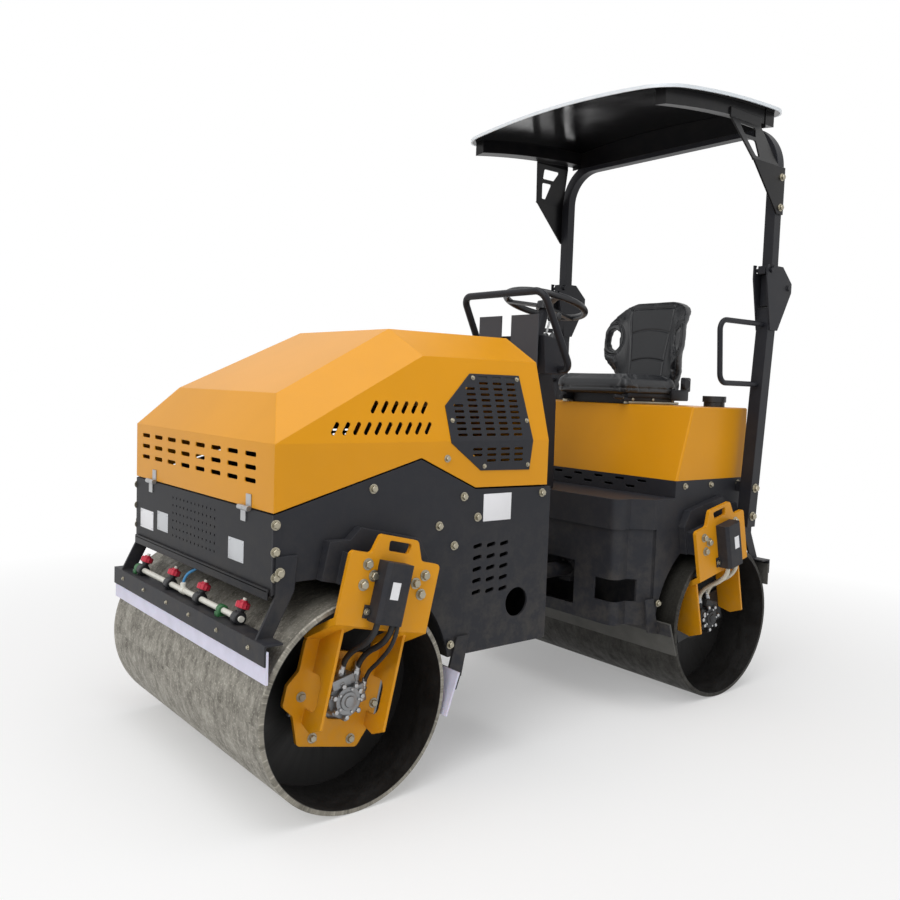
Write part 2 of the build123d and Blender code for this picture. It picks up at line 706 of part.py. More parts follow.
def rear_chassis():
    """Platform box, drum arch, side panels and rear wall."""
    foot_y = AXLE_Y - sqrt(ARCH_R**2 - (FRAME_LOW - DRUM_R) ** 2)
    crest_z = DRUM_R + ARCH_R
    back = PLATFORM_BACK
    under = FLOOR_TOP - SHEET_T
    body = extrude(Plane.XY.offset(PLATFORM_LOW) * platform_plan(), amount=under - PLATFORM_LOW)
    body -= extrude(Plane.XY.offset(PLATFORM_LOW + SHEET_T) * platform_plan(-SHEET_T), amount=FLOOR_TOP)
    # Openings in the front wall: the steering cylinder's, and a step round each front corner
    near, far, *heights = ROD_HOLE
    body -= block((near, far), (PLATFORM_FRONT - 5, PLATFORM_FRONT + SHEET_T + 5), heights)
    across, deep, *heights = STEP_HOLE
    for side in (-1, 1):
        span = sorted((side * (PLATFORM_W / 2 - across), side * HALF))
        body -= block(span, (PLATFORM_FRONT - 5, PLATFORM_FRONT + deep), heights)
    side_face = Polygon(
        (foot_y, FRAME_LOW),
        (back - SHEET_T, FRAME_LOW),
        (back - SHEET_T, under),
        (TANK_FRONT_LOW, under),
        (TANK_FRONT_LOW, TANK_LOW),
        (TANK_REAR, TANK_LOW),
        (TANK_REAR, TAIL_TOP),
        (FRAME_FRONT, TAIL_TOP),
        (FRAME_FRONT, FRONT_PANEL_LOW),
        (FRAME_FRONT - 80, crest_z),
        (AXLE_Y, crest_z),
        align=None,
    )
    side_face -= Pos(AXLE_Y, DRUM_R) * Circle(ARCH_R)
    for low in (-HALF, HALF - PANEL_T):
        body += extrude(Plane.YZ.offset(low) * side_face, amount=PANEL_T, dir=(1, 0, 0))
    ring = Circle(ARCH_R + SHEET_T) - Circle(ARCH_R)
    sector = Pos(AXLE_Y, DRUM_R) * ring & Polygon(
        (back, FRAME_LOW), (AXLE_Y, FRAME_LOW), (AXLE_Y, crest_z + 20), (back, crest_z + 20), align=None
    )
    inner = HALF - PANEL_T
    body += extrude(Plane.YZ * sector, amount=inner, both=True)
    body += block((-inner, inner), (AXLE_Y, FRAME_FRONT), (crest_z, crest_z + SHEET_T))
    body += block((-inner, inner), (TANK_REAR - SHEET_T, TANK_REAR), (crest_z, TANK_LOW))
    body += block((-inner, inner), (TANK_REAR, FRAME_FRONT), (TAIL_TOP - SHEET_T, TAIL_TOP))
    body += block((-inner, inner), (FRAME_FRONT - SHEET_T, FRAME_FRONT), (FRONT_PANEL_LOW, TAIL_TOP))
    body += rod_x(LIP_R, -inner, inner, FRAME_FRONT - LIP_R, FRONT_PANEL_LOW)
    riser = block((-inner, inner), (TANK_FRONT_LOW, TANK_FRONT_LOW + SHEET_T), (FLOOR_TOP, TANK_LOW))
    vents = slots([(x, z) for span, z in RISER_ROWS for x in spread(*span)], *RISER_SLOT)
    return body + riser - extrude(Plane.XZ.offset(-TANK_FRONT_LOW) * vents, amount=SHEET_T, dir=(0, 1, 0))


def platform_floor():
    """Floor plate and the fascia that hangs round its front edge."""
    plan = platform_plan(SKIRT_T)
    under = FLOOR_TOP - SHEET_T
    rear = Pos(0, (PLATFORM_BACK + TANK_FRONT_LOW) / 2) * Rectangle(BODY_W, TANK_FRONT_LOW - PLATFORM_BACK)
    floor = extrude(Plane.XY.offset(under) * (plan + rear), amount=SHEET_T)
    skirt = extrude(Plane.XY.offset(SKIRT_LOW) * (plan - platform_plan()), amount=under - SKIRT_LOW)
    return floor + skirt - block((-BODY_W, BODY_W), (PLATFORM_BACK - SHEET_T, TANK_REAR), (0, under))


def tank():
    """Folded tank with a leaning front and rounded upper edges."""
    low = [(TANK_FRONT_LOW, TANK_LOW), (TANK_REAR, TANK_LOW)]
    body = plate_x([*low, (TANK_REAR, TANK_TOP), (TANK_FRONT_TOP, TANK_TOP)], -HALF, BODY_W)
    return fillet(body.edges().filter_by(lambda e: e.center().Z > TANK_LOW + 1), TANK_ROUND)


def filler_cap():
    x, y = HALF - 110, TANK_REAR - 110
    return rod_z(48, x, y, TANK_TOP, TANK_TOP + 22) + rod_z(54, x, y, TANK_TOP + 22, TANK_TOP + 50)


def seat():
    """Base on the tank, rounded cushion, and a back with a hand hole in each wing."""
    half = SEAT_W / 2
    heel = TANK_REAR - 60
    base = block((-170, 170), (SEAT_FRONT + 100, TANK_REAR - 40), (TANK_TOP, SEAT_LOW))
    cushion = block((-half, half), (SEAT_FRONT, heel), (SEAT_LOW, SEAT_TOP))
    cushion = fillet(cushion.edges().filter_by(lambda e: e.center().Z > SEAT_LOW + 1), SEAT_ROUND)
    tall = BACK_TOP - SEAT_LOW
    plan = [(x, heel + 1 + y) for x, y in WING_PLAN]
    plan += [(-x, y) for x, y in reversed(plan)]
    plan = fillet(Polygon(*plan, align=None).vertices(), BACK_ROUND)
    back = extrude(Pos(0, 0, SEAT_LOW) * plan, hypot(tall, BACK_LEAN), dir=(0, BACK_LEAN, tall))
    outline = [(x, SEAT_LOW + share * tall) for x, share in BACK_HALF]
    outline += [(-x, z) for x, z in reversed(outline)]
    outline = fillet(Polygon(*outline, align=None).vertices(), SEAT_ROUND)
    back &= extrude(Plane.XZ * outline, amount=2 * TANK_REAR, dir=(0, 1, 0))
    hole_x, hole_z, hole_tall, hole_wide = WING_HOLE
    holes = slots([(-hole_x, hole_z), (hole_x, hole_z)], hole_tall, hole_wide, 90)
    back -= extrude(Plane.XZ * holes, amount=2 * TANK_REAR, dir=(0, 1, 0))
    return base, cushion, back


def console():
    """Leaning column, instrument pod, two plates ahead of it, and the steering column."""
    side = [(y, FLOOR_TOP + z) for y, z in CONSOLE_SIDE]
    pod = [(y, FLOOR_TOP + z) for y, z in POD_SIDE]
    body = plate_x(side, -CONSOLE_W / 2, CONSOLE_W) + plate_x(pod, -POD_W / 2, POD_W)
    plates = []
    for low, high in DASH_X:
        mid = (low + high) / 2
        plate = block((low, high), (DASH_Y, DASH_Y + DASH_T), [FLOOR_TOP + z for z in DASH_Z])
        plate += block((mid - 20, mid + 20), (DASH_Y + DASH_T, pod[1][0]), [FLOOR_TOP + z for z in ARM_Z])
        plates += (plate - body).solids().sort_by(Axis.Y)[:1]
    wheel_y, wheel_z = WHEEL_AT
    lean = radians(WHEEL_TILT)
    reach = WHEEL_R + 30
    foot = (0, wheel_y - reach * sin(lean), wheel_z - reach * cos(lean))
    column = Pos(0, 0, reach / 2 - 15) * Cylinder(COLUMN_R, reach - 30)
    return body + Plane(foot, z_dir=(0, sin(lean), cos(lean))) * column, Compound(plates)


def steering_wheel():
    wheel_y, wheel_z = WHEEL_AT
    lean = radians(WHEEL_TILT)
    plane = Plane((0, wheel_y, wheel_z), x_dir=(1, 0, 0), z_dir=(0, sin(lean), cos(lean)))
    body = Torus(WHEEL_R, WHEEL_RIM) + Pos(0, 0, -12) * Cylinder(38, 34)
    for angle in (90, 210, 330):
        body += Rot(0, 0, angle) * Pos(WHEEL_R / 2, 0, -10) * Box(WHEEL_R, 30, 12)
    return plane * body


def handrail(pod):
    """Bent tube that leaves the console's sides and crosses ahead of the dash plates."""
    points = [(x, y, FLOOR_TOP + z) for x, y, z in HANDRAIL]
    return tube([*points, *((-x, y, z) for x, y, z in reversed(points))], RAIL_R, HANDRAIL_BEND) - pod


def post_y(z):
    """Middle of the leaning lower post at a height."""
    return HOOP_Y - (POST_SPLIT - POST_SEAM - z) * tan(radians(POST_LEAN))


def lower_posts():
    """Leaning posts on two feet each, with lugs for the hoop's fold pin and notches for its lock bolt."""
    half = POST_D / 2
    inner, outer = POST_X - POST_W / 2, POST_X + POST_W / 2
    ends = [(post_y(z), z) for z in (POST_LOW, POST_SPLIT - POST_SEAM)]
    (low_y, low_z), (top_y, top_z) = ends
    side = [(low_y - half, low_z), (low_y + half, low_z), (top_y + half, top_z), (top_y - half, top_z)]
    post = plate_x(side, inner, POST_W)
    for z in POST_FEET:
        y = post_y(z)
        post += block((HALF, inner), (y - half / 4, y + half), (z - FOOT_H / 2, z + FOOT_H / 2))
    pin_y, pin_z = FOLD_PIN
    bolt_y, bolt_z = LOCK_BOLT
    lug = [
        (HOOP_Y - half, POST_SPLIT - 110),
        (HOOP_Y + half, POST_SPLIT - 110),
        (pin_y + 28, pin_z - 20),
        (pin_y + 28, pin_z + 22),
        (HOOP_Y + half + 20, bolt_z + 22),
        (bolt_y - 26, bolt_z + 22),
        (bolt_y - 26, bolt_z - 40),
    ]
    swing = atan2(bolt_z - pin_z, pin_y - bolt_y)
    notch = 2 * (LOCK_R + LOCK_CLEAR)
    way = Pos(bolt_y, bolt_z) * Rot(0, 0, 90 - degrees(swing)) * Pos(40, 0) * SlotOverall(80 + notch, notch)
    for x in (inner - LUG_T, outer):
        plate = plate_x(lug, x, LUG_T)
        post += plate - extrude(Plane.YZ.offset(x) * way, amount=LUG_T, dir=(1, 0, 0))
    post += rod_x(FOLD_PIN_R, inner - LUG_T - 8, outer + LUG_T + 8, pin_y, pin_z)
    return pair(post)


def hoop():
    """Square tube hoop with fold ears behind its feet and lock bolts ahead of them."""
    points = [
        (POST_X, HOOP_Y, POST_SPLIT),
        (POST_X, HOOP_Y, HOOP_TOP),
        (-POST_X, HOOP_Y, HOOP_TOP),
        (-POST_X, HOOP_Y, POST_SPLIT),
    ]
    path = FilletPolyline(*points, radius=HOOP_BEND)
    body = sweep(Plane(points[0], x_dir=(1, 0, 0), z_dir=(0, 0, 1)) * Rectangle(HOOP_W, HOOP_W), path=path)
    pin_y, pin_z = FOLD_PIN
    bolt_y, bolt_z = LOCK_BOLT
    half = HOOP_W / 2
    ear = [
        (HOOP_Y + half, POST_SPLIT + 20),
        (pin_y + 22, pin_z - 18),
        (pin_y + 22, pin_z + 18),
        (HOOP_Y + half, pin_z + 90),
    ]
    for x in (-POST_X, POST_X):
        body += plate_x(ear, x - EAR_W / 2, EAR_W)
        body -= rod_x(FOLD_PIN_R + RUN_GAP, x - POST_W, x + POST_W, pin_y, pin_z)
        body += block((x - 18, x + 18), (bolt_y - 16, HOOP_Y - half), (bolt_z - 18, bolt_z + 18))
        reach = POST_W / 2 + LUG_T + 10
        body += rod_x(LOCK_R, x - reach, x + reach, bolt_y, bolt_z)
    return body


def canopy_plane():
    """Frame at the canopy's middle, on top of it: local X across, local Y rearward along its rise."""
    lean = radians(CANOPY_RISE)
    middle = (0, (CANOPY_FRONT + CANOPY_REAR) / 2, HOOP_TOP + CANOPY_OVER)
    return Plane(middle, x_dir=(1, 0, 0), z_dir=(0, -sin(lean), cos(lean)))


def dome(depth):
    """Ball whose top lies depth below the canopy's top, so that two of them bound a curved sheet."""
    return canopy_plane() * Pos(0, 0, -CANOPY_DOME - depth) * Sphere(CANOPY_DOME)


def canopy_prism(inset):
    """Upright prism on the canopy's outline, moved in by inset."""
    length = (CANOPY_REAR - CANOPY_FRONT) / cos(radians(CANOPY_RISE))
    face = RectangleRounded(CANOPY_W - 2 * inset, length - 2 * inset, CANOPY_CORNER - inset)
    return extrude(canopy_plane() * face, amount=CANOPY_W / 4, both=True)


def canopy():
    """Domed shell with a turned-down lip, and the liner under it."""
    top = dome(0) & canopy_prism(0)
    shell = top - dome(CANOPY_T) + (top - dome(CANOPY_LIP) - canopy_prism(CANOPY_T))
    liner = (dome(CANOPY_T) & canopy_prism(LINER_INSET)) - dome(CANOPY_T + LINER_T)
    return shell, liner


def canopy_mounts(frame):
    """Cut-out horns from the hoop's posts to rails under the liner, and pads on the hoop's crossbar."""
    under = CANOPY_T + LINER_T
    inner, outer = RAIL_X
    half = HOOP_W / 2
    face_x = POST_X + half
    low, knee, top = HOOP_TOP - HORN_DROP, HOOP_TOP - HORN_KNEE, HOOP_TOP - HORN_TOP
    front = HOOP_Y - HORN_REACH
    gusset = plate_x(
        [(HOOP_Y - half, low), (HOOP_Y + half, low), (HOOP_Y + half, knee), (front, knee)], face_x, HORN_T
    )
    section = Polygon(
        (face_x + HORN_T, knee - HORN_T),
        (face_x, knee - HORN_T),
        (outer, top),
        (outer, top + 40),
        (outer + HORN_T, top + 40),
        (outer + HORN_T, top),
        align=None,
    )
    back = HOOP_Y - 70
    side = [
        (front, low),
        (HOOP_Y - half, low),
        (HOOP_Y - half, knee),
        (back, top),
        (back, top + 40),
        (front - 75, top + 40),
        (front - 75, top),
        (front, knee),
    ]
    arm = extrude(Plane.XZ * section, amount=2 * HOOP_Y, dir=(0, 1, 0)) & plate_x(side, inner, face_x)
    for quad in HORN_HOLES:
        arm -= plate_x([(HOOP_Y + y, knee + z) for y, z in quad], inner, face_x, HORN_T)
    run = (CANOPY_FRONT + RAIL_END, CANOPY_REAR - RAIL_END)
    rail = block(RAIL_X, run, (low, 2 * low)) - dome(under + RAIL_H)
    bar_top = HOOP_TOP + half
    pad = block((PAD_X - 40, PAD_X + 40), (HOOP_Y - half, HOOP_Y + half), (bar_top, bar_top + CANOPY_OVER))
    horn = ((gusset + arm + rail) & dome(under)) - frame
    return pair(Compound([*horn.solids(), *(pad & dome(under)).solids()]))


def grab_handle(posts):
    """Round handles ahead of the lower posts."""
    (low_y, low_z), (top_y, top_z) = GRAB_LOW, GRAB_TOP
    path = [
        (POST_X, post_y(low_z), low_z),
        (POST_X, low_y, low_z),
        (POST_X, top_y, top_z),
        (POST_X, post_y(top_z), top_z),
    ]
    return pair(tube(path, GRAB_R, GRAB_BEND) - posts)


def hinges():
    """Fixed knuckles on the front panel and moving knuckles on the hood."""
    y, z = -FRAME_FRONT - HINGE_R - 1, FRONT_PANEL_TOP + HOOD_SEAM / 2
    fixed, moving = [], []
    for x in (-HINGE_X, HINGE_X):
        for low, high, leaf, group in (
            (x - HINGE_L / 2, x - 1, (z - 45, z - HINGE_R + 2), fixed),
            (x + 1, x + HINGE_L / 2, (z + HINGE_R - 2, z + 45), moving),
        ):
            knuckle = rod_x(HINGE_R, low, high, y, z)
            knuckle += block((low, high), (-FRAME_FRONT - 4, -FRAME_FRONT), leaf)
            knuckle += block((low, high), (y, -FRAME_FRONT), (min(leaf[1] - 1, z), max(leaf[0] + 1, z)))
            if group is fixed:
                knuckle += rod_x(HINGE_PIN, low, x + HINGE_L / 2, y, z)
            else:
                knuckle -= rod_x(HINGE_PIN + RUN_GAP, low, high, y, z)
            group.extend(knuckle.solids())
    return Compound(fixed), Compound(moving)


outer_bar, outer_blade = outer_scraper()
inner_bar, inner_blade = inner_scraper()
pipe, jets = sprinkler()
barrel, rod = cylinder()
dash, dash_plates = console()
seat_base, seat_cushion, seat_back = seat()
shell, liner = canopy()
hinge_fixed, hinge_moving = hinges()
posts = lower_posts()
roll_hoop = hoop()

NODES = {
    "front_drum": drum(-AXLE_Y),
    "rear_drum": drum(AXLE_Y),
    "front_side_panels": front_side_panels(),
    "front_tub": front_tub(),
    "engine_block": engine_block(),
    "hood_shell": hood_shell(),
    "hood_vents": hood_vents(),
    "hood_hinge_leaves": hinge_moving,
    "front_hinge_leaves": hinge_fixed,
    "front_yoke": front_yoke(),
    "rear_yoke": rear_yoke(),
    "steering_barrel": barrel,
    "steering_rod": rod,
    "rear_chassis": rear_chassis(),
    "platform_floor": platform_floor(),
    "tank": tank(),
    "filler_cap": filler_cap(),
    "seat_base": seat_base,
    "seat_cushion": seat_cushion,
    "seat_back": seat_back,
    "console": dash,
    "dash_plates": dash_plates,
    "steering_wheel": steering_wheel(),
    "handrail": handrail(dash),
    "roll_bar_posts": posts,
    "grab_handles": grab_handle(posts),
    "roll_bar_hoop": roll_hoop,
    "canopy_mounts": canopy_mounts(roll_hoop),
    "canopy_shell": shell,
    "canopy_liner": liner,
}
# Gear that the rear half carries as a mirror image: name, front piece, rear piece
MIRRORED = [
    ("brackets", pair(on_axle(front_bracket())), pair(on_axle(rear_bracket()))),
    ("mount_blocks", pair(on_axle(mount_block())), None),
    ("motors", pair(on_axle(drive_motor())), None),
    ("hose_guards", pair(on_axle(hose_guard())), None),
    ("hoses", pair(on_axle(hoses())), None),
    ("outer_scraper", outer_bar, None),
    ("outer_blade", outer_blade, None),
    ("inner_scraper", inner_bar, None),
    ("inner_blade", inner_blade, None),
    ("sprinkler_pipe", pipe, None),
    ("sprinkler_jets", jets, None),
]
for name, front, rear in MIRRORED:
    NODES[f"front_{name}"] = front
    NODES[f"rear_{name}"] = to_rear(rear or front)

for name, shape in NODES.items():
    export_step(shape, f"parts/{name}.step")
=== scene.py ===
"""Finishes and small pieces of a ride-on tandem compaction roller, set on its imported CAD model.

Lengths are in metres, in the model's frame: +X is the machine's left, -Y is forward, and the ground is at Z 0.
"""

import math

import bmesh
import bpy
from bpy.props import FloatProperty, FloatVectorProperty, PointerProperty
from mathutils import Matrix, Vector


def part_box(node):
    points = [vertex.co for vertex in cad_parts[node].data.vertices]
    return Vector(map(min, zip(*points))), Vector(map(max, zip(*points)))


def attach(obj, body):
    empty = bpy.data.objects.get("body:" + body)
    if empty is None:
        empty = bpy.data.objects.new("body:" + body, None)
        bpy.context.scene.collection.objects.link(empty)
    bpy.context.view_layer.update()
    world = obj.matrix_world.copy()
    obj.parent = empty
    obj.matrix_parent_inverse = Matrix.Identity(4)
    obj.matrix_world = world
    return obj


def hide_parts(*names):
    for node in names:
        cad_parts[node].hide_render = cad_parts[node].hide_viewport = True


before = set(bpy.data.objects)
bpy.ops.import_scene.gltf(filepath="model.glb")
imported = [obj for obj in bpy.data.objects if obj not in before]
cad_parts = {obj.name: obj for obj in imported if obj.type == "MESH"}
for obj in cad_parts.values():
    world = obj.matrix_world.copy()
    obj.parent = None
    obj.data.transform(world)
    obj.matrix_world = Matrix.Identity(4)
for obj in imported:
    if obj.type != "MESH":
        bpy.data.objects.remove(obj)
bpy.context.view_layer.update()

bl_info = {
    "name": "Tandem Roller Finish",
    "version": (1, 0, 0),
    "blender": (4, 5, 0),
    "location": "View3D > Sidebar > Roller",
    "description": "Paints a packed tandem roller and adds its seat, fasteners, hoses, controls and studio",
    "category": "Object",
}

# Photograph's camera, fitted to the drum rims and to mirrored points of the machine
LENS = 35.71
CAMERA_AT = (2.97350943, -2.53211571, 1.38141641)
AZIMUTH, ELEVATION, ROLL = (math.radians(a) for a in (51.07421, 4.10366, 1.93980))

# Places that the CAD source gives
AXLE_Y, DRUM_R = 0.987, 0.350
SIDE_X = 0.580
PLATE_X = 0.676
LEG_X = 0.530
LEAN = math.radians(13)
CONSOLE_Y = 0.376
WHEEL_AT, WHEEL_TILT = (0, 0.405, 1.772), math.radians(15)

# Edges that turn by more than this stay sharp
SHARP_FROM = math.radians(34)


def linear(code):
    """sRGB hex code as a linear colour."""
    parts = [int(code[i : i + 2], 16) / 255 for i in (1, 3, 5)]
    return [c / 12.92 if c <= 0.04045 else ((c + 0.055) / 1.055) ** 2.4 for c in parts]


def colour(code, name, note):
    return FloatVectorProperty(name=name, description=note, default=linear(code), size=3, min=0, max=1, subtype="COLOR")


def length(metres, name, note):
    return FloatProperty(name=name, description=note, default=metres, min=0.0005, unit="LENGTH", precision=4)


class RollerColours(bpy.types.PropertyGroup):
    """Colours of the machine's finishes"""

    yellow: colour("#DC9614", "Yellow", "Enamel of the hood, the tank and the drum brackets")
    charcoal: colour("#292A2F", "Charcoal", "Powder coat of the frames")
    black: colour("#202126", "Black", "Powder coat of the roll bar and the handrails")
    dash: colour("#4A4B50", "Dash grey", "Powder coat of the dash plates")
    steel: colour("#A6A297", "Drum steel", "Clean places of the worn drum")
    stain: colour("#5C5850", "Drum stain", "Soiled places of the worn drum")
    blade: colour("#D9D7EA", "Blade", "Polyethylene of the scraper blades")
    dust: colour("#9A8F7C", "Dust", "Road dust on the lower paint")
    vinyl: colour("#191B1F", "Vinyl", "Seat cover")
    red: colour("#C5283F", "Nozzle red", "Caps of the water nozzles")
    green: colour("#2F6B3D", "Clamp green", "Pipe clamps of the water bar")
    blue: colour("#3A86B8", "Hose blue", "Water hose")


class RollerSizes(bpy.types.PropertyGroup):
    """Sizes of the pieces that the finish adds"""

    bolt_wide: length(0.024, "Bolt head", "Width across the flats of a frame bolt")
    floor_wide: length(40.0, "Floor", "Diameter of the studio floor")


def add(tree, kind, inputs=None, **settings):
    """Adds a node with its settings, then sets or links its inputs; a node as a value links its first output in use."""
    node = tree.nodes.new(kind)
    for name, value in settings.items():
        setattr(node, name, value)
    for key, value in (inputs or {}).items():
        socket = node.inputs[key]
        if isinstance(value, bpy.types.Node):
            value = next(output for output in value.outputs if output.enabled)
        if isinstance(value, bpy.types.NodeSocket):
            tree.links.new(value, socket)
        else:
            socket.default_value = value
    return node


def per_mm(size):
    """Texture scale of a pattern whose features are size millimetres wide."""
    return 1000.0 / size


def rgba(value):
    return (*value, 1.0)


def scaled(base, factor, lift=0.0):
    """Colour times a factor, plus a lift, held to 1."""
    return rgba([min(1.0, part * factor + lift) for part in base])


def bare_tree(owner):
    """Emptied node tree of a material or world."""
    owner.use_nodes = True
    owner.node_tree.nodes.clear()
    return owner.node_tree


def surface(name, build):
    """Material from a function of the tree and the Object coordinates that gives the shader's inputs."""
    made = bpy.data.materials.new(name)
    tree = bare_tree(made)
    place = add(tree, "ShaderNodeTexCoord").outputs["Object"]
    shader = add(tree, "ShaderNodeBsdfPrincipled", build(tree, place))
    add(tree, "ShaderNodeOutputMaterial", {"Surface": shader})
    return made


def coated_steel(name, base, dust, gloss, peel_mm, wear):
    """Sprayed and baked paint on sheet steel: faint orange peel, soft cloudiness, dust low down, pale edges."""

    def build(tree, place):
        cloud = add(tree, "ShaderNodeTexNoise", {"Vector": place, "Scale": per_mm(420), "Detail": 4.0})
        cloudy = {"Factor": cloud, "A": scaled(base, 0.90), "B": scaled(base, 1.08)}
        shade = add(tree, "ShaderNodeMix", cloudy, data_type="RGBA")
        # Dust lies in blotches of a few centimetres, thicker towards the ground
        height = add(tree, "ShaderNodeSeparateXYZ", {"Vector": place}).outputs["Z"]
        lower = {"Value": height, "From Min": 0.15, "From Max": 0.95, "To Min": 0.24, "To Max": 0.02}
        low = add(tree, "ShaderNodeMapRange", lower)
        blotches = {"Vector": place, "Scale": per_mm(70), "Detail": 6.0, "Roughness": 0.7}
        blotch = add(tree, "ShaderNodeTexNoise", blotches)
        patch = add(tree, "ShaderNodeMapRange", {"Value": blotch, "From Min": 0.42, "From Max": 0.80})
        dusty = add(tree, "ShaderNodeMath", {0: low, 1: patch}, operation="MULTIPLY")
        soiled = add(tree, "ShaderNodeMix", {"Factor": dusty, "A": shade, "B": rgba(dust)}, data_type="RGBA")
        # Paint rubs pale where the rounded normal leaves the flat one, at the edges
        rounded = add(tree, "ShaderNodeBevel", {"Radius": 0.004}, samples=4)
        flat = add(tree, "ShaderNodeNewGeometry").outputs["Normal"]
        same = add(tree, "ShaderNodeVectorMath", {0: rounded, 1: flat}, operation="DOT_PRODUCT")
        edge = add(tree, "ShaderNodeMapRange", {"Value": same, "From Min": 0.98, "From Max": 0.80})
        chip = add(tree, "ShaderNodeTexNoise", {"Vector": place, "Scale": per_mm(16), "Detail": 3.0})
        chipped = add(tree, "ShaderNodeMath", {0: edge, 1: chip}, operation="MULTIPLY")
        worn = add(tree, "ShaderNodeMath", {0: chipped, 1: wear}, operation="MULTIPLY")
        rubbed = {"Factor": worn, "A": soiled, "B": scaled(base, 1.5, 0.05)}
        sheen = {"Value": dusty, "From Max": 0.5, "To Min": gloss, "To Max": min(1, gloss + 0.35)}
        # Orange peel is drawn coarser than life so that it shows at this distance
        peel = add(tree, "ShaderNodeTexNoise", {"Vector": place, "Scale": per_mm(peel_mm), "Detail": 2.0})
        raised = {"Height": peel, "Strength": 0.05, "Distance": 0.002, "Normal": rounded}
        return {
            "Base Color": add(tree, "ShaderNodeMix", rubbed, data_type="RGBA"),
            "Roughness": add(tree, "ShaderNodeMapRange", sheen),
            "Specular IOR Level": 0.2,
            "Normal": add(tree, "ShaderNodeBump", raised),
        }

    return surface(name, build)


def worn_drum_steel(name, axle_y, steel, stain):
    """Rolled shell steel polished by the road: streaks round the drum, pale scuffs, and a near-black inside that is
    painted shade.
    """

    def build(tree, place):
        parts = add(tree, "ShaderNodeSeparateXYZ", {"Vector": place}).outputs
        along = add(tree, "ShaderNodeMath", {0: parts["Y"], 1: axle_y}, operation="SUBTRACT")
        up = add(tree, "ShaderNodeMath", {0: parts["Z"], 1: DRUM_R}, operation="SUBTRACT")
        angle = add(tree, "ShaderNodeMath", {0: up, 1: along}, operation="ARCTAN2")
        arc = add(tree, "ShaderNodeMath", {0: angle, 1: DRUM_R}, operation="MULTIPLY")
        flat = add(tree, "ShaderNodeCombineXYZ", {"X": parts["X"], "Y": arc})
        spoke = add(tree, "ShaderNodeCombineXYZ", {"X": along, "Y": up})
        radius = add(tree, "ShaderNodeVectorMath", {0: spoke}, operation="LENGTH")
        # Streaks run round the drum, three times as long as they are wide
        long_way = add(tree, "ShaderNodeMapping", {"Vector": flat, "Scale": (1.0, 0.34, 1.0)})
        streaks = {"Vector": long_way, "Scale": per_mm(28), "Detail": 7.0, "Roughness": 0.72}
        streak = add(tree, "ShaderNodeTexNoise", streaks)
        patches = {"Vector": flat, "Scale": per_mm(95), "Detail": 8.0, "Roughness": 0.75}
        patch = add(tree, "ShaderNodeTexNoise", patches)
        pattern = add(tree, "ShaderNodeMix", {"Factor": 0.52, "A": streak, "B": patch}, data_type="FLOAT")
        tone = add(tree, "ShaderNodeMapRange", {"Value": pattern, "From Min": 0.38, "From Max": 0.62})
        shade = add(tree, "ShaderNodeMix", {"Factor": tone, "A": rgba(stain), "B": rgba(steel)}, data_type="RGBA")
        grit = add(tree, "ShaderNodeTexNoise", {"Vector": flat, "Scale": per_mm(9), "Detail": 4.0})
        scuff = add(tree, "ShaderNodeMapRange", {"Value": grit, "From Min": 0.54, "From Max": 0.70, "To Max": 0.55})
        scuffed = {"Factor": scuff, "A": shade, "B": scaled(steel, 1.55)}
        outside = add(tree, "ShaderNodeMix", scuffed, data_type="RGBA")
        shell = add(tree, "ShaderNodeMapRange", {"Value": radius, "From Min": 0.3325, "From Max": 0.3345})
        # Inside the shell a mottled near-black colour is painted shade of the drum's hollow
        inside_shade_tones = {"Factor": patch, "A": rgba(linear("#060607")), "B": rgba(linear("#171513"))}
        painted_inside_shade = add(tree, "ShaderNodeMix", inside_shade_tones, data_type="RGBA")
        return {
            "Base Color": add(tree, "ShaderNodeMix", {"Factor": shell, "A": painted_inside_shade, "B": outside}, data_type="RGBA"),
            "Roughness": add(tree, "ShaderNodeMapRange", {"Value": tone, "To Min": 0.72, "To Max": 0.42}),
            "Metallic": add(tree, "ShaderNodeMath", {0: shell, 1: 0.55}, operation="MULTIPLY"),
            "Normal": add(tree, "ShaderNodeBump", {"Height": pattern, "Strength": 0.25, "Distance": 0.002}),
        }

    return surface(name, build)


def plain_moulding(name, base, rough, grain_mm, strength=0.1, metallic=0.0, cloudy=0.16, **more):
    """Moulded, cast or drawn stock: one colour with a little cloudiness and a fine grain in its gloss."""

    def build(tree, place):
        cloud = add(tree, "ShaderNodeTexNoise", {"Vector": place, "Scale": per_mm(60), "Detail": 5.0})
        tones = {"Factor": cloud, "A": scaled(base, 1 - cloudy), "B": scaled(base, 1 + cloudy)}
        grain = add(tree, "ShaderNodeTexNoise", {"Vector": place, "Scale": per_mm(grain_mm), "Detail": 3.0})
        gloss = {"Value": grain, "To Min": max(0, rough - 0.08), "To Max": min(1, rough + 0.08)}
        rounded = add(tree, "ShaderNodeBevel", {"Radius": 0.002}, samples=4)
        raised = {"Height": grain, "Strength": strength, "Distance": 0.001, "Normal": rounded}
        return {
            "Base Color": add(tree, "ShaderNodeMix", tones, data_type="RGBA"),
            "Roughness": add(tree, "ShaderNodeMapRange", gloss),
            "Metallic": metallic,
            "Normal": add(tree, "ShaderNodeBump", raised),
            **more,
        }

    return surface(name, build)


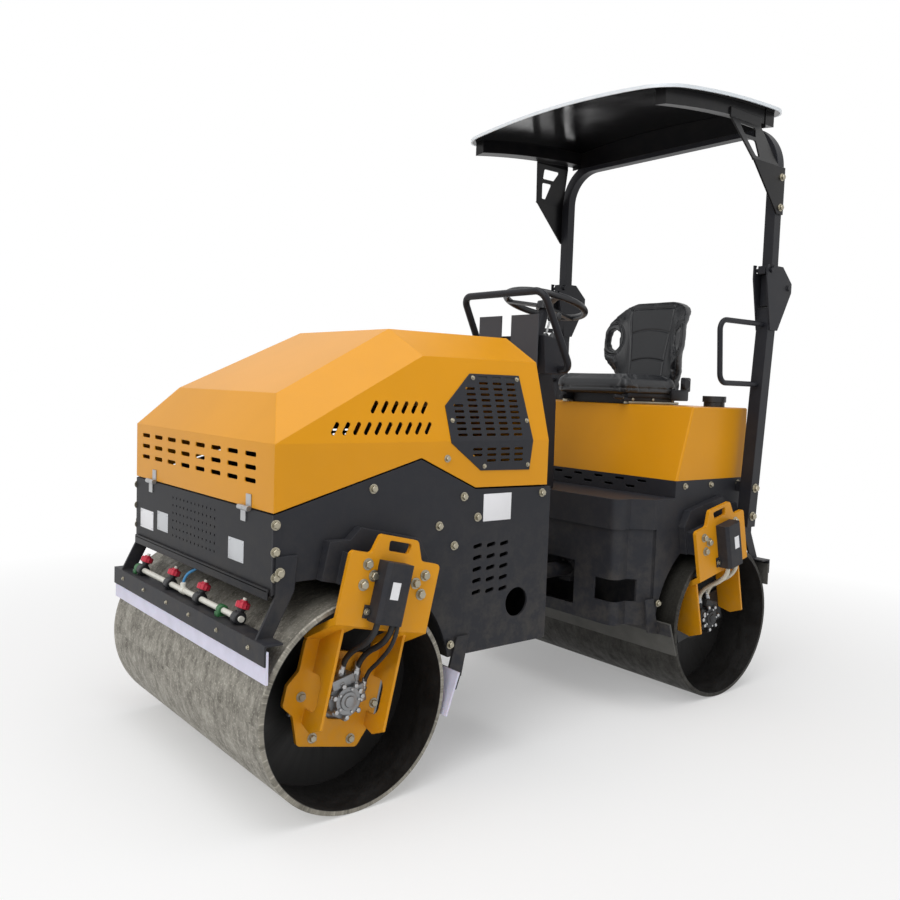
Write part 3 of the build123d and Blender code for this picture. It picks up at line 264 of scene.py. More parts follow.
# Which finish each CAD node takes; a star stands for the front's node and the rear's
NODE_FINISH = {
    "yellow_enamel": "hood_shell tank *_brackets",
    "charcoal_powder_coat": "front_side_panels hood_vents rear_chassis platform_floor console *_mount_blocks *_yoke"
    " *_outer_scraper *_inner_scraper *_hose_guards",
    "slate_powder_coat": "front_tub",
    "dash_powder_coat": "dash_plates",
    "black_powder_coat": "roll_bar_posts roll_bar_hoop handrail grab_handles seat_base steering_barrel",
    "deep_black_enamel": "canopy_mounts",
    "front_drum_steel": "front_drum",
    "rear_drum_steel": "rear_drum",
    "zinc_plate": "hood_hinge_leaves front_hinge_leaves",
    "hard_chrome": "steering_rod",
    "sand_cast_aluminium": "front_motors",
    "black_cast_iron": "rear_motors engine_block",
    "braided_rubber": "*_hoses",
    "grained_vinyl": "seat_cushion seat_back",
    "moulded_black_plastic": "filler_cap steering_wheel",
    "polyethylene_blade": "front_outer_blade front_inner_blade",
    "soiled_rubber_blade": "rear_outer_blade rear_inner_blade",
    "white_pipe_plastic": "*_sprinkler_pipe",
    "red_cap_plastic": "*_sprinkler_jets",
    "pale_canopy_sheet": "canopy_shell",
    "gloss_black_sheet": "canopy_liner",
}


class ROLLER_OT_finishes(bpy.types.Operator):
    """Makes the machine's finishes and gives one to each CAD node"""

    bl_idname = "roller.finishes"
    bl_label = "Finishes"

    def execute(self, context):
        tone = context.scene.roller_colours
        dust = tone.dust
        # Enamel and powder coats: even colour with a low sheen, rubbed pale at the edges and dusty near the ground
        coated_steel("yellow_enamel", tone.yellow, dust, 0.34, 5.0, 0.35)
        coated_steel("charcoal_powder_coat", tone.charcoal, dust, 0.50, 3.0, 0.5)
        coated_steel("slate_powder_coat", [c * 0.6 for c in tone.charcoal], dust, 0.50, 3.0, 0.5)
        coated_steel("dash_powder_coat", tone.dash, dust, 0.50, 3.0, 0.4)
        coated_steel("black_powder_coat", tone.black, dust, 0.42, 3.0, 0.4)
        coated_steel("deep_black_enamel", linear("#0B0B0E"), dust, 0.30, 4.0, 0.3)
        # Road-worn steel: streaked grey at the front; the rear one is the same steel times 0.12, darkened partly by
        # soil and partly as painted shade
        worn_drum_steel("front_drum_steel", -AXLE_Y, tone.steel, tone.stain)
        worn_drum_steel("rear_drum_steel", AXLE_Y, [c * 0.12 for c in tone.steel], [c * 0.12 for c in tone.stain])
        # Zinc plate: bluish pale metal with a dull sheen
        plain_moulding("zinc_plate", linear("#B0B1B2"), 0.38, 3.0, metallic=1.0)
        # Passivated zinc gone dull: grey with a faint golden cast
        plain_moulding("chromated_zinc", linear("#A39D8C"), 0.40, 3.0, metallic=1.0, cloudy=0.25)
        # Hard chrome: mirror bright ground rod
        plain_moulding("hard_chrome", linear("#D4D6DA"), 0.12, 2.0, 0.02, metallic=1.0)
        # Sand-cast aluminium: grainy silver skin
        plain_moulding("sand_cast_aluminium", linear("#8E9092"), 0.50, 4.0, 0.5, metallic=0.85)
        # Painted cast iron: grainy black skin
        plain_moulding("black_cast_iron", linear("#1D1E20"), 0.55, 4.0, 0.5)
        # Hydraulic hose: matt black rubber with a cloth-marked skin
        plain_moulding("braided_rubber", linear("#17181A"), 0.62, 2.5, 0.5)
        # Seat vinyl: fine leather grain with a soft sheen
        plain_moulding("grained_vinyl", tone.vinyl, 0.42, 3.0, 0.35)
        # Moulded ABS: even black with a fine spark-eroded grain
        plain_moulding("moulded_black_plastic", linear("#15161A"), 0.42, 2.0, 0.15)
        # Polyethylene sheet: waxy, slightly translucent lilac white
        plain_moulding(
            "polyethylene_blade", tone.blade, 0.45, 12.0, 0.1, **{"Subsurface Weight": 0.1, "Subsurface Scale": 0.01}
        )
        # Worn rubber strip: dusty dark grey
        plain_moulding("soiled_rubber_blade", linear("#4A4945"), 0.7, 8.0, 0.3, cloudy=0.35)
        # Extruded pipe plastic: smooth ivory white
        plain_moulding("white_pipe_plastic", linear("#E4E2D8"), 0.35, 6.0)
        # Moulded caps and clamps: bright red with a soft gloss, duller green
        plain_moulding("red_cap_plastic", tone.red, 0.35, 4.0)
        plain_moulding("green_clamp_plastic", tone.green, 0.45, 4.0)
        # Polyurethane hose: clear blue with a soft gloss
        plain_moulding("blue_hose_plastic", tone.blue, 0.35, 6.0)
        # Nylon spiral guard on the rear hoses: dull ivory coils
        plain_moulding("ivory_spiral_guard", linear("#C9C4B4"), 0.45, 5.0, 0.6)
        # Blank plates: satin silver where anodised, smooth white where enamelled
        plain_moulding("satin_anodised_plate", linear("#C3C5C8"), 0.40, 1.5, 0.05, metallic=0.8, cloudy=0.05)
        plain_moulding("white_enamel_plate", linear("#E9E9EC"), 0.35, 8.0, 0.05, cloudy=0.03)
        # Dial face: pale print under clear glass, so a hard gloss
        plain_moulding("dial_face", linear("#D8DADC"), 0.15, 6.0, 0.02, cloudy=0.02)
        # Moulded canopy sheet: pale gloss skin
        plain_moulding("pale_canopy_sheet", linear("#DDE3E8"), 0.28, 60.0, 0.03, cloudy=0.03)
        # Gloss sheet: piano black underside with slow waves in its mirror
        plain_moulding("gloss_black_sheet", linear("#050506"), 0.14, 220.0, 0.35, **{"Specular IOR Level": 0.22})
        for finish, nodes in NODE_FINISH.items():
            for node in nodes.split():
                for name in {node.replace("*", "front"), node.replace("*", "rear")}:
                    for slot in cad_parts[name].material_slots:
                        slot.material = bpy.data.materials[finish]
        return {"FINISHED"}


def on_bracket(x, u, v, end):
    """Point of a drum bracket's leaning frame, at the front (end -1) or the rear (end 1)."""
    fore = AXLE_Y - u * math.cos(LEAN) - v * math.sin(LEAN)
    return Vector((x, end * fore, DRUM_R - u * math.sin(LEAN) + v * math.cos(LEAN)))


def spread(low, high, count):
    return [low + (high - low) * i / (count - 1) for i in range(count)]


def struck(node, side, y, z):
    """Point and facing where a level line from the machine's side meets a CAD node."""
    hit, point, normal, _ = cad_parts[node].ray_cast((side * 2, y, z), (-side, 0, 0))
    if not hit:
        raise RuntimeError(f"no face of {node} at y {y}, z {z}")
    return point, normal


def meshed(shape, name):
    """Mesh of a bmesh, which is freed."""
    mesh = bpy.data.meshes.new(name)
    shape.to_mesh(mesh)
    shape.free()
    return mesh


def linked(name, data):
    """New object in the scene."""
    made = bpy.data.objects.new(name, data)
    bpy.context.collection.objects.link(made)
    return made


def bolt_head():
    """Hexagon head on a washer, 1 wide across the flats, standing on Z 0."""
    shape = bmesh.new()
    # Rings of the head from the washer up: corner radius, height, corners
    tip = 0.5 / math.cos(math.pi / 6)
    rings = [(0.80, 0.0, 12), (0.80, 0.10, 12), (tip, 0.10, 6), (tip, 0.52, 6), (tip * 0.86, 0.62, 6)]
    loops = []
    for radius, height, corners in rings:
        turns = [math.tau * i / corners for i in range(corners)]
        loops.append([shape.verts.new((radius * math.cos(t), radius * math.sin(t), height)) for t in turns])
    for low, high in ((0, 1), (2, 3), (3, 4)):
        count = len(loops[low])
        for i in range(count):
            k = (i + 1) % count
            shape.faces.new((loops[low][i], loops[low][k], loops[high][k], loops[high][i]))
    shape.faces.new(loops[1])
    shape.faces.new(loops[4])
    shape.faces.new(list(reversed(loops[0])))
    return bpy.data.objects.new("bolt_head", meshed(shape, "bolt_head"))


CLOCK_SEED = 7


def head_tree():
    """Geometry nodes that set a head on each point, turned to its facing and clocked at random."""
    tree = bpy.data.node_groups.new("heads_on_points", "GeometryNodeTree")
    inputs = {"Points": "Geometry", "Head": "Object", "Head width": "Float", "Finish": "Material", "Seed": "Int"}
    sockets = {}
    for name, kind in inputs.items():
        sockets[name] = tree.interface.new_socket(name, in_out="INPUT", socket_type=f"NodeSocket{kind}").identifier
    tree.interface.new_socket("Heads", in_out="OUTPUT", socket_type="NodeSocketGeometry")
    start = add(tree, "NodeGroupInput").outputs
    facing = add(tree, "GeometryNodeInputNamedAttribute", {"Name": "facing"}, data_type="FLOAT_VECTOR")
    upright = add(tree, "FunctionNodeAlignRotationToVector", {"Vector": facing}, axis="Z")
    clock = {"Seed": start["Seed"], "Max": (0.0, 0.0, math.tau)}
    clock = add(tree, "FunctionNodeRandomValue", clock, data_type="FLOAT_VECTOR")
    turn = {"Rotation": upright, "Rotate By": clock}
    turn = add(tree, "FunctionNodeRotateRotation", turn, rotation_space="LOCAL")
    share = add(tree, "GeometryNodeInputNamedAttribute", {"Name": "share"}, data_type="FLOAT")
    width = add(tree, "ShaderNodeMath", {0: share, 1: start["Head width"]}, operation="MULTIPLY")
    head = add(tree, "GeometryNodeObjectInfo", {"Object": start["Head"]}).outputs["Geometry"]
    spots = {"Points": start["Points"], "Instance": head, "Rotation": turn, "Scale": width}
    placed = add(tree, "GeometryNodeInstanceOnPoints", spots)
    real = add(tree, "GeometryNodeRealizeInstances", {"Geometry": placed})
    done = add(tree, "GeometryNodeSetMaterial", {"Geometry": real, "Material": start["Finish"]})
    add(tree, "NodeGroupOutput", {"Heads": done})
    return tree, sockets


# Bolt places: in the drum bracket's plate, lower guard edge and leg, in the side panel and in the vent panel
PLATE_BOLTS = ((-0.108, 0.455), (-0.077, 0.422), (-0.109, 0.389), (0.125, 0.447), (0.093, 0.417), (0.123, 0.384))
GUARD_BOLTS = ((-0.078, 0.308), (0.046, 0.308))
LEG_BOLTS = ((-0.150, -0.006), (-0.075, -0.137), (0.074, -0.137), (0.138, -0.016))
SIDE_BOLTS = (
    (-1.262, 0.946),
    (-1.262, 0.863),
    (-1.260, 0.785),
    (-0.912, 1.040),
    (-0.528, 0.995),
    (-0.635, 0.898),
    (-0.462, 0.918),
    (-0.566, 0.824),
    (-0.144, 0.991),
)
VENT_BOLTS = ((-0.455, 1.413), (-0.240, 1.413), (-0.578, 1.262), (-0.222, 1.262), (-0.441, 1.100), (-0.228, 1.100))
POST_LEAN = math.tan(math.radians(4.5))


def frame_bolts():
    """Places of the bolts: body, point, facing, share of the usual head width."""
    rows = []
    for side in (-1, 1):
        out = Vector((side, 0, 0))
        for end, body in ((-1, "front_frame"), (1, "rear_frame")):
            rows += [(body, on_bracket(side * PLATE_X, u, v, end), out, 1.0) for u, v in PLATE_BOLTS]
            rows += [(body, on_bracket(side * 0.682, u, v, end), out, 0.6) for u, v in GUARD_BOLTS]
            ahead = Vector((0, end, 0))
            rows += [(body, Vector((side * x, end * 1.331, 0.575)), ahead, 0.4) for x in spread(0.10, 0.55, 3)]
            rows.append((body, Vector((side * 0.590, end * 1.251, 0.800)), out, 0.9))
            rows.append((body, Vector((side * 0.590, end * 0.577, 0.474)), out, 0.8))
        rows += [("front_frame", on_bracket(side * LEG_X, u, v, -1), out, 0.9) for u, v in LEG_BOLTS]
        rows += [("front_frame", Vector((side * SIDE_X, y, z)), out, 0.85) for y, z in SIDE_BOLTS]
        rows.append(("hood", Vector((side * SIDE_X, -0.609, 1.131)), out, 0.7))
        rows += [("hood", *struck("hood_vents", side, y, z), 0.45) for y, z in VENT_BOLTS]
        rows += [("rear_frame", Vector((side * SIDE_X, y, 0.975)), out, 0.75) for y in (0.74, 0.93, 1.14)]
        for z in (0.830, 0.960):
            rows.append(("rear_frame", Vector((side * 0.677, 1.199 - (1.785 - z) * POST_LEAN, z)), out, 1.1))
        rows += [("roll_bar", Vector((side * 0.680, 1.200, z)), out, 0.9) for z in (2.24, 2.375)]
    return rows


class ROLLER_OT_bolts(bpy.types.Operator):
    """Sets the hexagon bolts of the frames, the hood and the roll bar"""

    bl_idname = "roller.bolts"
    bl_label = "Bolts"

    def execute(self, context):
        head = bolt_head()
        tree, sockets = head_tree()
        rows = frame_bolts()
        for body in sorted({row[0] for row in rows}):
            own = [row for row in rows if row[0] == body]
            mesh = bpy.data.meshes.new(f"{body}_bolt_points")
            mesh.from_pydata([row[1] for row in own], [], [])
            mesh.attributes.new("facing", "FLOAT_VECTOR", "POINT")
            mesh.attributes.new("share", "FLOAT", "POINT")
            facing, share = mesh.attributes["facing"].data, mesh.attributes["share"].data
            for i, row in enumerate(own):
                facing[i].vector = row[2]
                share[i].value = row[3]
            points = linked(f"{body}_bolt_points", mesh)
            rule = points.modifiers.new("heads", "NODES")
            rule.node_group = tree
            rule[sockets["Head"]] = head
            rule[sockets["Head width"]] = context.scene.roller_sizes.bolt_wide
            rule[sockets["Finish"]] = bpy.data.materials["chromated_zinc"]
            rule[sockets["Seed"]] = CLOCK_SEED
            made = bpy.data.meshes.new_from_object(points.evaluated_get(context.evaluated_depsgraph_get()))
            bpy.data.objects.remove(points)
            carried(f"{body}_bolts", made, "chromated_zinc", body)
        bpy.data.objects.remove(head)
        return {"FINISHED"}


def aimed(point, direction):
    """Place whose Z runs from a point along a direction."""
    return Matrix.Translation(point) @ Vector(direction).to_track_quat("Z", "Y").to_matrix().to_4x4()


def lofted(shape, rings):
    """Adds a closed form to a bmesh through rings of like corners."""
    loops = [[shape.verts.new(point) for point in ring] for ring in rings]
    for low, high in zip(loops, loops[1:]):
        for i in range(len(low)):
            k = (i + 1) % len(low)
            shape.faces.new((low[i], low[k], high[k], high[i]))
    shape.faces.new(list(reversed(loops[0])))
    shape.faces.new(loops[-1])


def turned(shape, rings, place, corners=20, lobes=0.0):
    """Adds a turned form to a bmesh: rings of radius and height along the place's Z, lobed if asked."""
    loops = []
    for radius, height in rings:
        ring = []
        for i in range(corners):
            turn = math.tau * i / corners
            reach = radius * (1 - lobes * (i % 2))
            ring.append(place @ Vector((reach * math.cos(turn), reach * math.sin(turn), height)))
        loops.append(ring)
    lofted(shape, loops)


def slab(shape, low, high, round_by=0.0015, place=None):
    """Adds a box with rounded edges to a bmesh, from any two opposite corners."""
    low, high = Vector(map(min, low, high)), Vector(map(max, low, high))
    fit = Matrix.Translation((low + high) / 2) @ Matrix.Diagonal((*(high - low), 1))
    made = bmesh.ops.create_cube(shape, size=1, matrix=(place or Matrix()) @ fit)
    edges = list({edge for vert in made["verts"] for edge in vert.link_edges})
    bmesh.ops.bevel(shape, geom=edges, offset=round_by, segments=2, profile=0.5, affect="EDGES")


def settled(shape, name):
    """Mesh of a bmesh, smooth but for its sharp edges."""
    bmesh.ops.recalc_face_normals(shape, faces=shape.faces)
    mesh = meshed(shape, name)
    mesh.shade_smooth()
    mesh.set_sharp_from_angle(angle=SHARP_FROM)
    return mesh


def carried(name, data, finish, body):
    """Object of a finished mesh or curve, with its material and the body that carries it."""
    if not data.materials:
        data.materials.append(bpy.data.materials[finish])
    made = linked(name, data)
    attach(made, body)
    return made


def fixed(shape, name, finish, body):
    """Object of a finished bmesh, carried as above."""
    return carried(name, settled(shape, name), finish, body)


def smooth_line(name, points, radius):
    """Round hose along a smooth spline through its route's control points, and its length."""
    data = bpy.data.curves.new(name, "CURVE")
    data.dimensions = "3D"
    data.resolution_u = 16
    spline = data.splines.new("NURBS")
    spline.points.add(len(points) - 1)
    for knot, point in zip(spline.points, points):
        knot.co = (*point, 1)
    spline.order_u = 3
    spline.use_endpoint_u = True
    bare = bpy.data.objects.new(name, data)
    line = bpy.data.meshes.new_from_object(bare)
    run = sum((line.vertices[a].co - line.vertices[b].co).length for a, b in (edge.vertices for edge in line.edges))
    bpy.data.objects.remove(bare)
    bpy.data.meshes.remove(line)
    data.bevel_depth = radius
    data.bevel_resolution = 4
    data.use_fill_caps = True
    return data, run


# Hydraulic hoses of one bracket in its leaning frame: radius, then points of x, u, v from the guard to the motor
HOSES = {
    "pressure": (
        0.010,
        [(0.706, -0.046, 0.281), (0.706, -0.046, 0.227), (0.546, -0.030, 0.144), (0.546, -0.030, 0.084)],
    ),
    "return": (
        0.010,
        [(0.706, 0.014, 0.281), (0.706, 0.014, 0.227), (0.546, 0.030, 0.144), (0.546, 0.030, 0.084)],
    ),
    "drain": (
        0.007,
        [
            (0.716, 0.027, 0.281),
            (0.716, 0.030, 0.225),
            (0.610, 0.060, 0.135),
            (0.552, 0.066, 0.085),
            (0.552, 0.066, 0.034),
        ],
    ),
}


# Rings of the crimped sleeve at a hose's end: how far each stands over the hose, and its height
CRIMP = ((0.0025, 0.010), (0.0025, 0.014), (0.0015, 0.016), (0.0025, 0.018))
CRIMP += ((0.0025, 0.026), (0.0015, 0.028), (0.0025, 0.030), (0.0012, 0.038))


class ROLLER_OT_hoses(bpy.types.Operator):
    """Lays the drive motors' hydraulic hoses with their crimped fittings"""

    bl_idname = "roller.hoses"
    bl_label = "Hydraulic hoses"

    def execute(self, context):
        for end, body, node, finish in (
            (-1, "front_frame", "front_hoses", "braided_rubber"),
            (1, "rear_frame", "rear_hoses", "ivory_spiral_guard"),
        ):
            metal = bmesh.new()
            for side, hand in ((-1, "right"), (1, "left")):
                for name, (radius, route) in HOSES.items():
                    if name == "drain" and end > 0:
                        continue
                    points = [on_bracket(side * x, u, v, end) for x, u, v in route]
                    data, run = smooth_line(f"{node}_{hand}_{name}", points, radius)
                    hose = carried(data.name, data, finish, body)
                    if name != "drain":
                        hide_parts(node)
                    foot = aimed(points[-1], points[-2] - points[-1])
                    turned(metal, [(radius + 0.0055, -0.004), (radius + 0.0055, 0.010)], foot, 6)
                    turned(metal, [(radius + over, height) for over, height in CRIMP], foot)
            fixed(metal, f"{body}_hose_fittings", "zinc_plate", body)
        return {"FINISHED"}


# Ribs round a drive motor, each with a screw, and screws of its cover
RIBS, COVER_SCREWS = 7, 5


class ROLLER_OT_motors(bpy.types.Operator):
    """Adds the ribs, screws, boss and valve block of the cast drive motors"""

    bl_idname = "roller.motors"
    bl_label = "Drive motors"

    def execute(self, context):
        for end, body, finish in ((-1, "front_frame", "sand_cast_aluminium"), (1, "rear_frame", "black_cast_iron")):
            cast, metal = bmesh.new(), bmesh.new()
            for side in (-1, 1):
                axle = Vector((0, end * AXLE_Y, DRUM_R))
                for i in range(RIBS):
                    turn = Matrix.Translation(axle) @ Matrix.Rotation(math.tau * i / RIBS + 0.35, 4, "X")
                    slab(cast, (side * 0.520, -0.007, 0.040), (side * 0.577, 0.007, 0.068), 0.003, turn)
                    lug = turn @ Vector((side * 0.576, 0, 0.054))
                    turned(metal, [(0.009, 0.0), (0.009, 0.008), (0.006, 0.010)], aimed(lug, (side, 0, 0)), 6)
                boss = [(0.032, 0.0), (0.030, 0.006), (0.020, 0.008), (0.018, 0.013), (0.010, 0.016)]
                turned(cast, boss, aimed(axle + Vector((side * 0.579, 0, 0)), (side, 0, 0)), 28)
                for i in range(COVER_SCREWS):
                    turn = math.tau * i / COVER_SCREWS
                    spot = axle + Vector((side * 0.579, 0.039 * math.cos(turn), 0.039 * math.sin(turn)))
                    turned(metal, [(0.0055, 0.0), (0.0055, 0.005), (0.004, 0.006)], aimed(spot, (side, 0, 0)), 6)
                block = Matrix.Translation(axle) @ Matrix.Rotation(-end * LEAN, 4, "X")
                inner, outer = side * 0.528, side * 0.574
                slab(cast, (inner, -end * 0.028, -0.030), (outer, -end * 0.072, 0.034), 0.006, block)
                slab(cast, (inner, -0.044, 0.046), (outer, 0.044, 0.082), 0.007, block)
                for v in (-0.014, 0.012):
                    plug = block @ Vector((side * 0.573, -end * 0.052, v))
                    turned(metal, [(0.010, 0.0), (0.010, 0.008), (0.006, 0.010)], aimed(plug, (side, 0, 0)), 6)
            fixed(cast, f"{body}_motor_castings", finish, body)
            fixed(metal, f"{body}_motor_screws", "zinc_plate", body)
        return {"FINISHED"}


# Nozzles, clamps and height of the CAD's water pipes, and the feed hose's route from the tee
JET_X = (-0.445, -0.170, 0.095, 0.395)
CLAMP_X = (-0.485, 0.275)
WATER_Y, WATER_Z = 1.290, 0.625
FEED_ROUTE = ((0, 0, 0.024), (0, 0.004, 0.055), (0.035, 0.045, 0.085), (0.065, 0.055, 0.130), (0.075, 0.026, 0.165))


class ROLLER_OT_water_bars(bpy.types.Operator):
    """Dresses the water bars with nozzle bodies, red caps, clamps and the feed hose"""

    bl_idname = "roller.water_bars"
    bl_label = "Water bars"

    def execute(self, context):
        for end, body, kind in ((-1, "front_frame", "front"), (1, "rear_frame", "rear")):
            black, red, white, green = (bmesh.new() for _ in range(4))
            to_drum = Vector((0, -end * 0.36, 0.93)).normalized()
            for x in JET_X:
                pipe = Vector((x, end * WATER_Y, WATER_Z))
                along = aimed(pipe - Vector((0.016, 0, 0)), (1, 0, 0))
                turned(black, [(0.019, 0.0), (0.0225, 0.003), (0.0225, 0.029), (0.019, 0.032)], along, 24)
                cap = aimed(pipe, to_drum)
                turned(black, [(0.012, 0.010), (0.012, 0.026), (0.015, 0.027), (0.015, 0.031)], cap)
                turned(red, [(0.019, 0.031), (0.0235, 0.033), (0.0235, 0.049), (0.019, 0.053)], cap, 24, 0.10)
                turned(red, [(0.013, 0.052), (0.012, 0.058)], cap)
                turned(white, [(0.007, 0.057), (0.006, 0.066)], cap, 12)
            for x in CLAMP_X:
                pipe = Vector((x, end * WATER_Y, WATER_Z))
                along = aimed(pipe - Vector((0.0125, 0, 0)), (1, 0, 0))
                turned(green, [(0.0165, 0.0), (0.018, 0.002), (0.018, 0.023), (0.0165, 0.025)], along, 24)
                slab(green, pipe + Vector((-0.0125, -0.022, -0.0195)), pipe + Vector((0.0125, 0.022, -0.004)), 0.002)
            tee = Vector((-0.047, end * WATER_Y, WATER_Z))
            turned(white, [(0.013, 0.0), (0.013, 0.030)], aimed(tee - Vector((0.015, 0, 0)), (1, 0, 0)))
            turned(white, [(0.0105, 0.006), (0.0105, 0.026), (0.0075, 0.029)], aimed(tee, (0, 0, 1)))
            fixed(black, f"{kind}_nozzle_bodies", "moulded_black_plastic", body)
            caps = fixed(red, f"{kind}_nozzle_caps", "red_cap_plastic", body)
            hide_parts(f"{kind}_sprinkler_jets")
            fixed(white, f"{kind}_water_fittings", "white_pipe_plastic", body)
            fixed(green, f"{kind}_pipe_clamps", "green_clamp_plastic", body)
            route = [tee + Vector((x, -end * y, z)) for x, y, z in FEED_ROUTE]
            data, run = smooth_line(f"{kind}_water_hose", route, 0.005)
            feed = carried(data.name, data, "blue_hose_plastic", body)
        return {"FINISHED"}


def smooth_step(value, low, high):
    share = min(1.0, max(0.0, (value - low) / (high - low)))
    return share * share * (3 - 2 * share)


# Voxel size of the padding's mesh, pressure of its stuffing and frames that it settles for
VOXEL, PRESSURE, SETTLE_FRAMES = 0.006, 4.0, 20


def stuffed(shape, name, cap, pin_below):
    """Fine mesh of a closed form swelled by cloth pressure, each point moving by no more than the cap."""
    scene = bpy.context.scene
    bmesh.ops.recalc_face_normals(shape, faces=shape.faces)
    work = linked(name, meshed(shape, name))

    def applied():
        done = bpy.data.meshes.new_from_object(work.evaluated_get(bpy.context.evaluated_depsgraph_get()))
        work.modifiers.clear()
        work.data = done
        return done

    voxels = work.modifiers.new("voxels", "REMESH")
    voxels.mode, voxels.voxel_size = "VOXEL", VOXEL
    relax = work.modifiers.new("relax", "SMOOTH")
    relax.factor, relax.iterations = 0.5, 6
    mesh = applied()
    start = [vert.co.copy() for vert in mesh.vertices]
    pins = work.vertex_groups.new(name="pins")
    pins.add([vert.index for vert in mesh.vertices if vert.co.z < pin_below], 1.0, "REPLACE")
    cloth = work.modifiers.new("stuffing", "CLOTH")
    rule = cloth.settings
    rule.use_pressure, rule.uniform_pressure_force = True, PRESSURE
    rule.effector_weights.gravity = 0.0
    rule.vertex_group_mass = "pins"
    cloth.collision_settings.use_collision = False
    cloth.point_cache.frame_start, cloth.point_cache.frame_end = 1, SETTLE_FRAMES
    for step in range(1, SETTLE_FRAMES + 1):
        scene.frame_set(step)
    mesh = applied()
    scene.frame_set(1)
    for vert, place in zip(mesh.vertices, start):
        move = vert.co - place
        if move.length > cap:
            vert.co = place + move * (cap / move.length)
    finer = work.modifiers.new("finer", "SUBSURF")
    finer.levels = finer.render_levels = 1
    mesh = applied()
    bpy.data.objects.remove(work)
    mesh.shade_smooth()
    return mesh


def groove(mesh, near, depth, wide):
    """Presses sewn seams into a mesh; near gives a point's distance from the seams, or None off the sewn side."""
    normals = [vert.normal.copy() for vert in mesh.vertices]
    for vert, normal in zip(mesh.vertices, normals):
        away = near(vert.co, normal)
        if away is not None and away < 3 * wide:
            vert.co -= normal * (depth * math.exp(-((away / wide) ** 2)))


# Seat: half width, then the cushion's front, heel, underside and top, and the back's top
SEAT_HALF = 0.236
SEAT_FRONT, SEAT_HEEL, SEAT_LOW, SEAT_TOP, BACK_TOP = 0.700, 1.130, 1.378, 1.466, 1.860
# Middle of the slot in each wing of the seat back
SLOT_X, SLOT_Z = 0.205, 1.660
# Half width of the seat back by share of its height
BACK_HALF = (
    (0.0, 0.188),
    (0.12, 0.196),
    (0.25, 0.218),
    (0.38, 0.240),
    (0.50, 0.250),
    (0.65, 0.250),
    (0.78, 0.243),
    (0.87, 0.228),
    (0.93, 0.205),
    (0.97, 0.175),
    (1.0, 0.125),
)


def back_half(share):
    for (low, narrow), (high, wide) in zip(BACK_HALF, BACK_HALF[1:]):
        if share <= high:
            return narrow + (wide - narrow) * (share - low) / (high - low)
    return BACK_HALF[-1][1]


def back_form(shrink):
    """Closed bucket back with a slot in each wing, a little smaller than the finished one."""
    shape = bmesh.new()
    across, up = 72, 72
    tall = BACK_TOP - SEAT_LOW - 2 * shrink
    sides = {0: [], 1: []}
    for row in range(up + 1):
        share = row / up
        half = back_half(share) - shrink
        for back, grid in sides.items():
            line = []
            for col in range(across + 1):
                x = half * (2 * col / across - 1)
                wing = smooth_step(abs(x), 0.120, 0.240) * smooth_step(share, 0.05, 0.42)
                wing *= 1 - smooth_step(share, 0.66, 1.02)
                y = SEAT_HEEL + 0.002 + 0.060 * share
                y += (0.066 - 0.086 * wing - shrink) if back else (shrink - 0.082 * wing)
                # The slot runs square to the wing, so its rear mouth lies further out
                bulge = smooth_step(abs(x), 0.115, 0.180) * (1 - smooth_step(abs(x), SLOT_X, half)) * wing
                x += math.copysign((0.022 if back else -0.014) * bulge, x)
                line.append(shape.verts.new((x, y, SEAT_LOW + shrink + tall * share)))
            grid.append(line)

    def open_cell(row, col):
        spot = sides[0][row][col].co + sides[0][row + 1][col + 1].co
        return (abs(abs(spot.x) / 2 - SLOT_X) / 0.025) ** 2.5 + (abs(spot.z / 2 - SLOT_Z) / 0.058) ** 2.5 < 1

    kept = {(r, c) for r in range(up) for c in range(across) if not open_cell(r, c)}
    front, rear = sides[0], sides[1]
    for r, c in kept:
        shape.faces.new((front[r][c], front[r][c + 1], front[r + 1][c + 1], front[r + 1][c]))
        shape.faces.new((rear[r][c], rear[r + 1][c], rear[r + 1][c + 1], rear[r][c + 1]))
        for step, (a, b) in (
            ((-1, 0), ((r, c), (r, c + 1))),
            ((1, 0), ((r + 1, c), (r + 1, c + 1))),
            ((0, -1), ((r, c), (r + 1, c))),
            ((0, 1), ((r, c + 1), (r + 1, c + 1))),
        ):
            if (r + step[0], c + step[1]) not in kept:
                shape.faces.new((front[a[0]][a[1]], front[b[0]][b[1]], rear[b[0]][b[1]], rear[a[0]][a[1]]))
    return shape


def back_seams(place, normal):
    """Distance from the seams that part the seat back's middle into three panels."""
    if normal.y > -0.35:
        return None
    share = (place.z - SEAT_LOW) / (BACK_TOP - SEAT_LOW)
    edge = 0.105 + 0.030 * smooth_step(share, 0.25, 0.95)
    away = [abs(abs(place.x) - edge)] if 0.10 < share < 0.93 else []
    if abs(place.x) < edge:
        away += [abs(place.z - z - 1.2 * (0.012 - place.x**2)) for z in (1.540, 1.690)]
        away.append(abs(place.z - 1.815))
    else:
        # Welt round the wing's slot
        ring = math.hypot((abs(place.x) - SLOT_X) / 0.6, place.z - SLOT_Z)
        away.append(abs(ring - 0.084))
    return min(away) if away else None


def cushion_seams(place, normal):
    """Distance from the seam across the cushion's front roll and from the welt low round its sides."""
    if normal.z > 0.5:
        # The seam across the top fades out before it meets the edge
        return abs(place.y - SEAT_FRONT - 0.170 + 0.6 * place.x**2) + max(0.0, abs(place.x) - 0.165) / 2
    return abs(place.z - SEAT_LOW - 0.022)


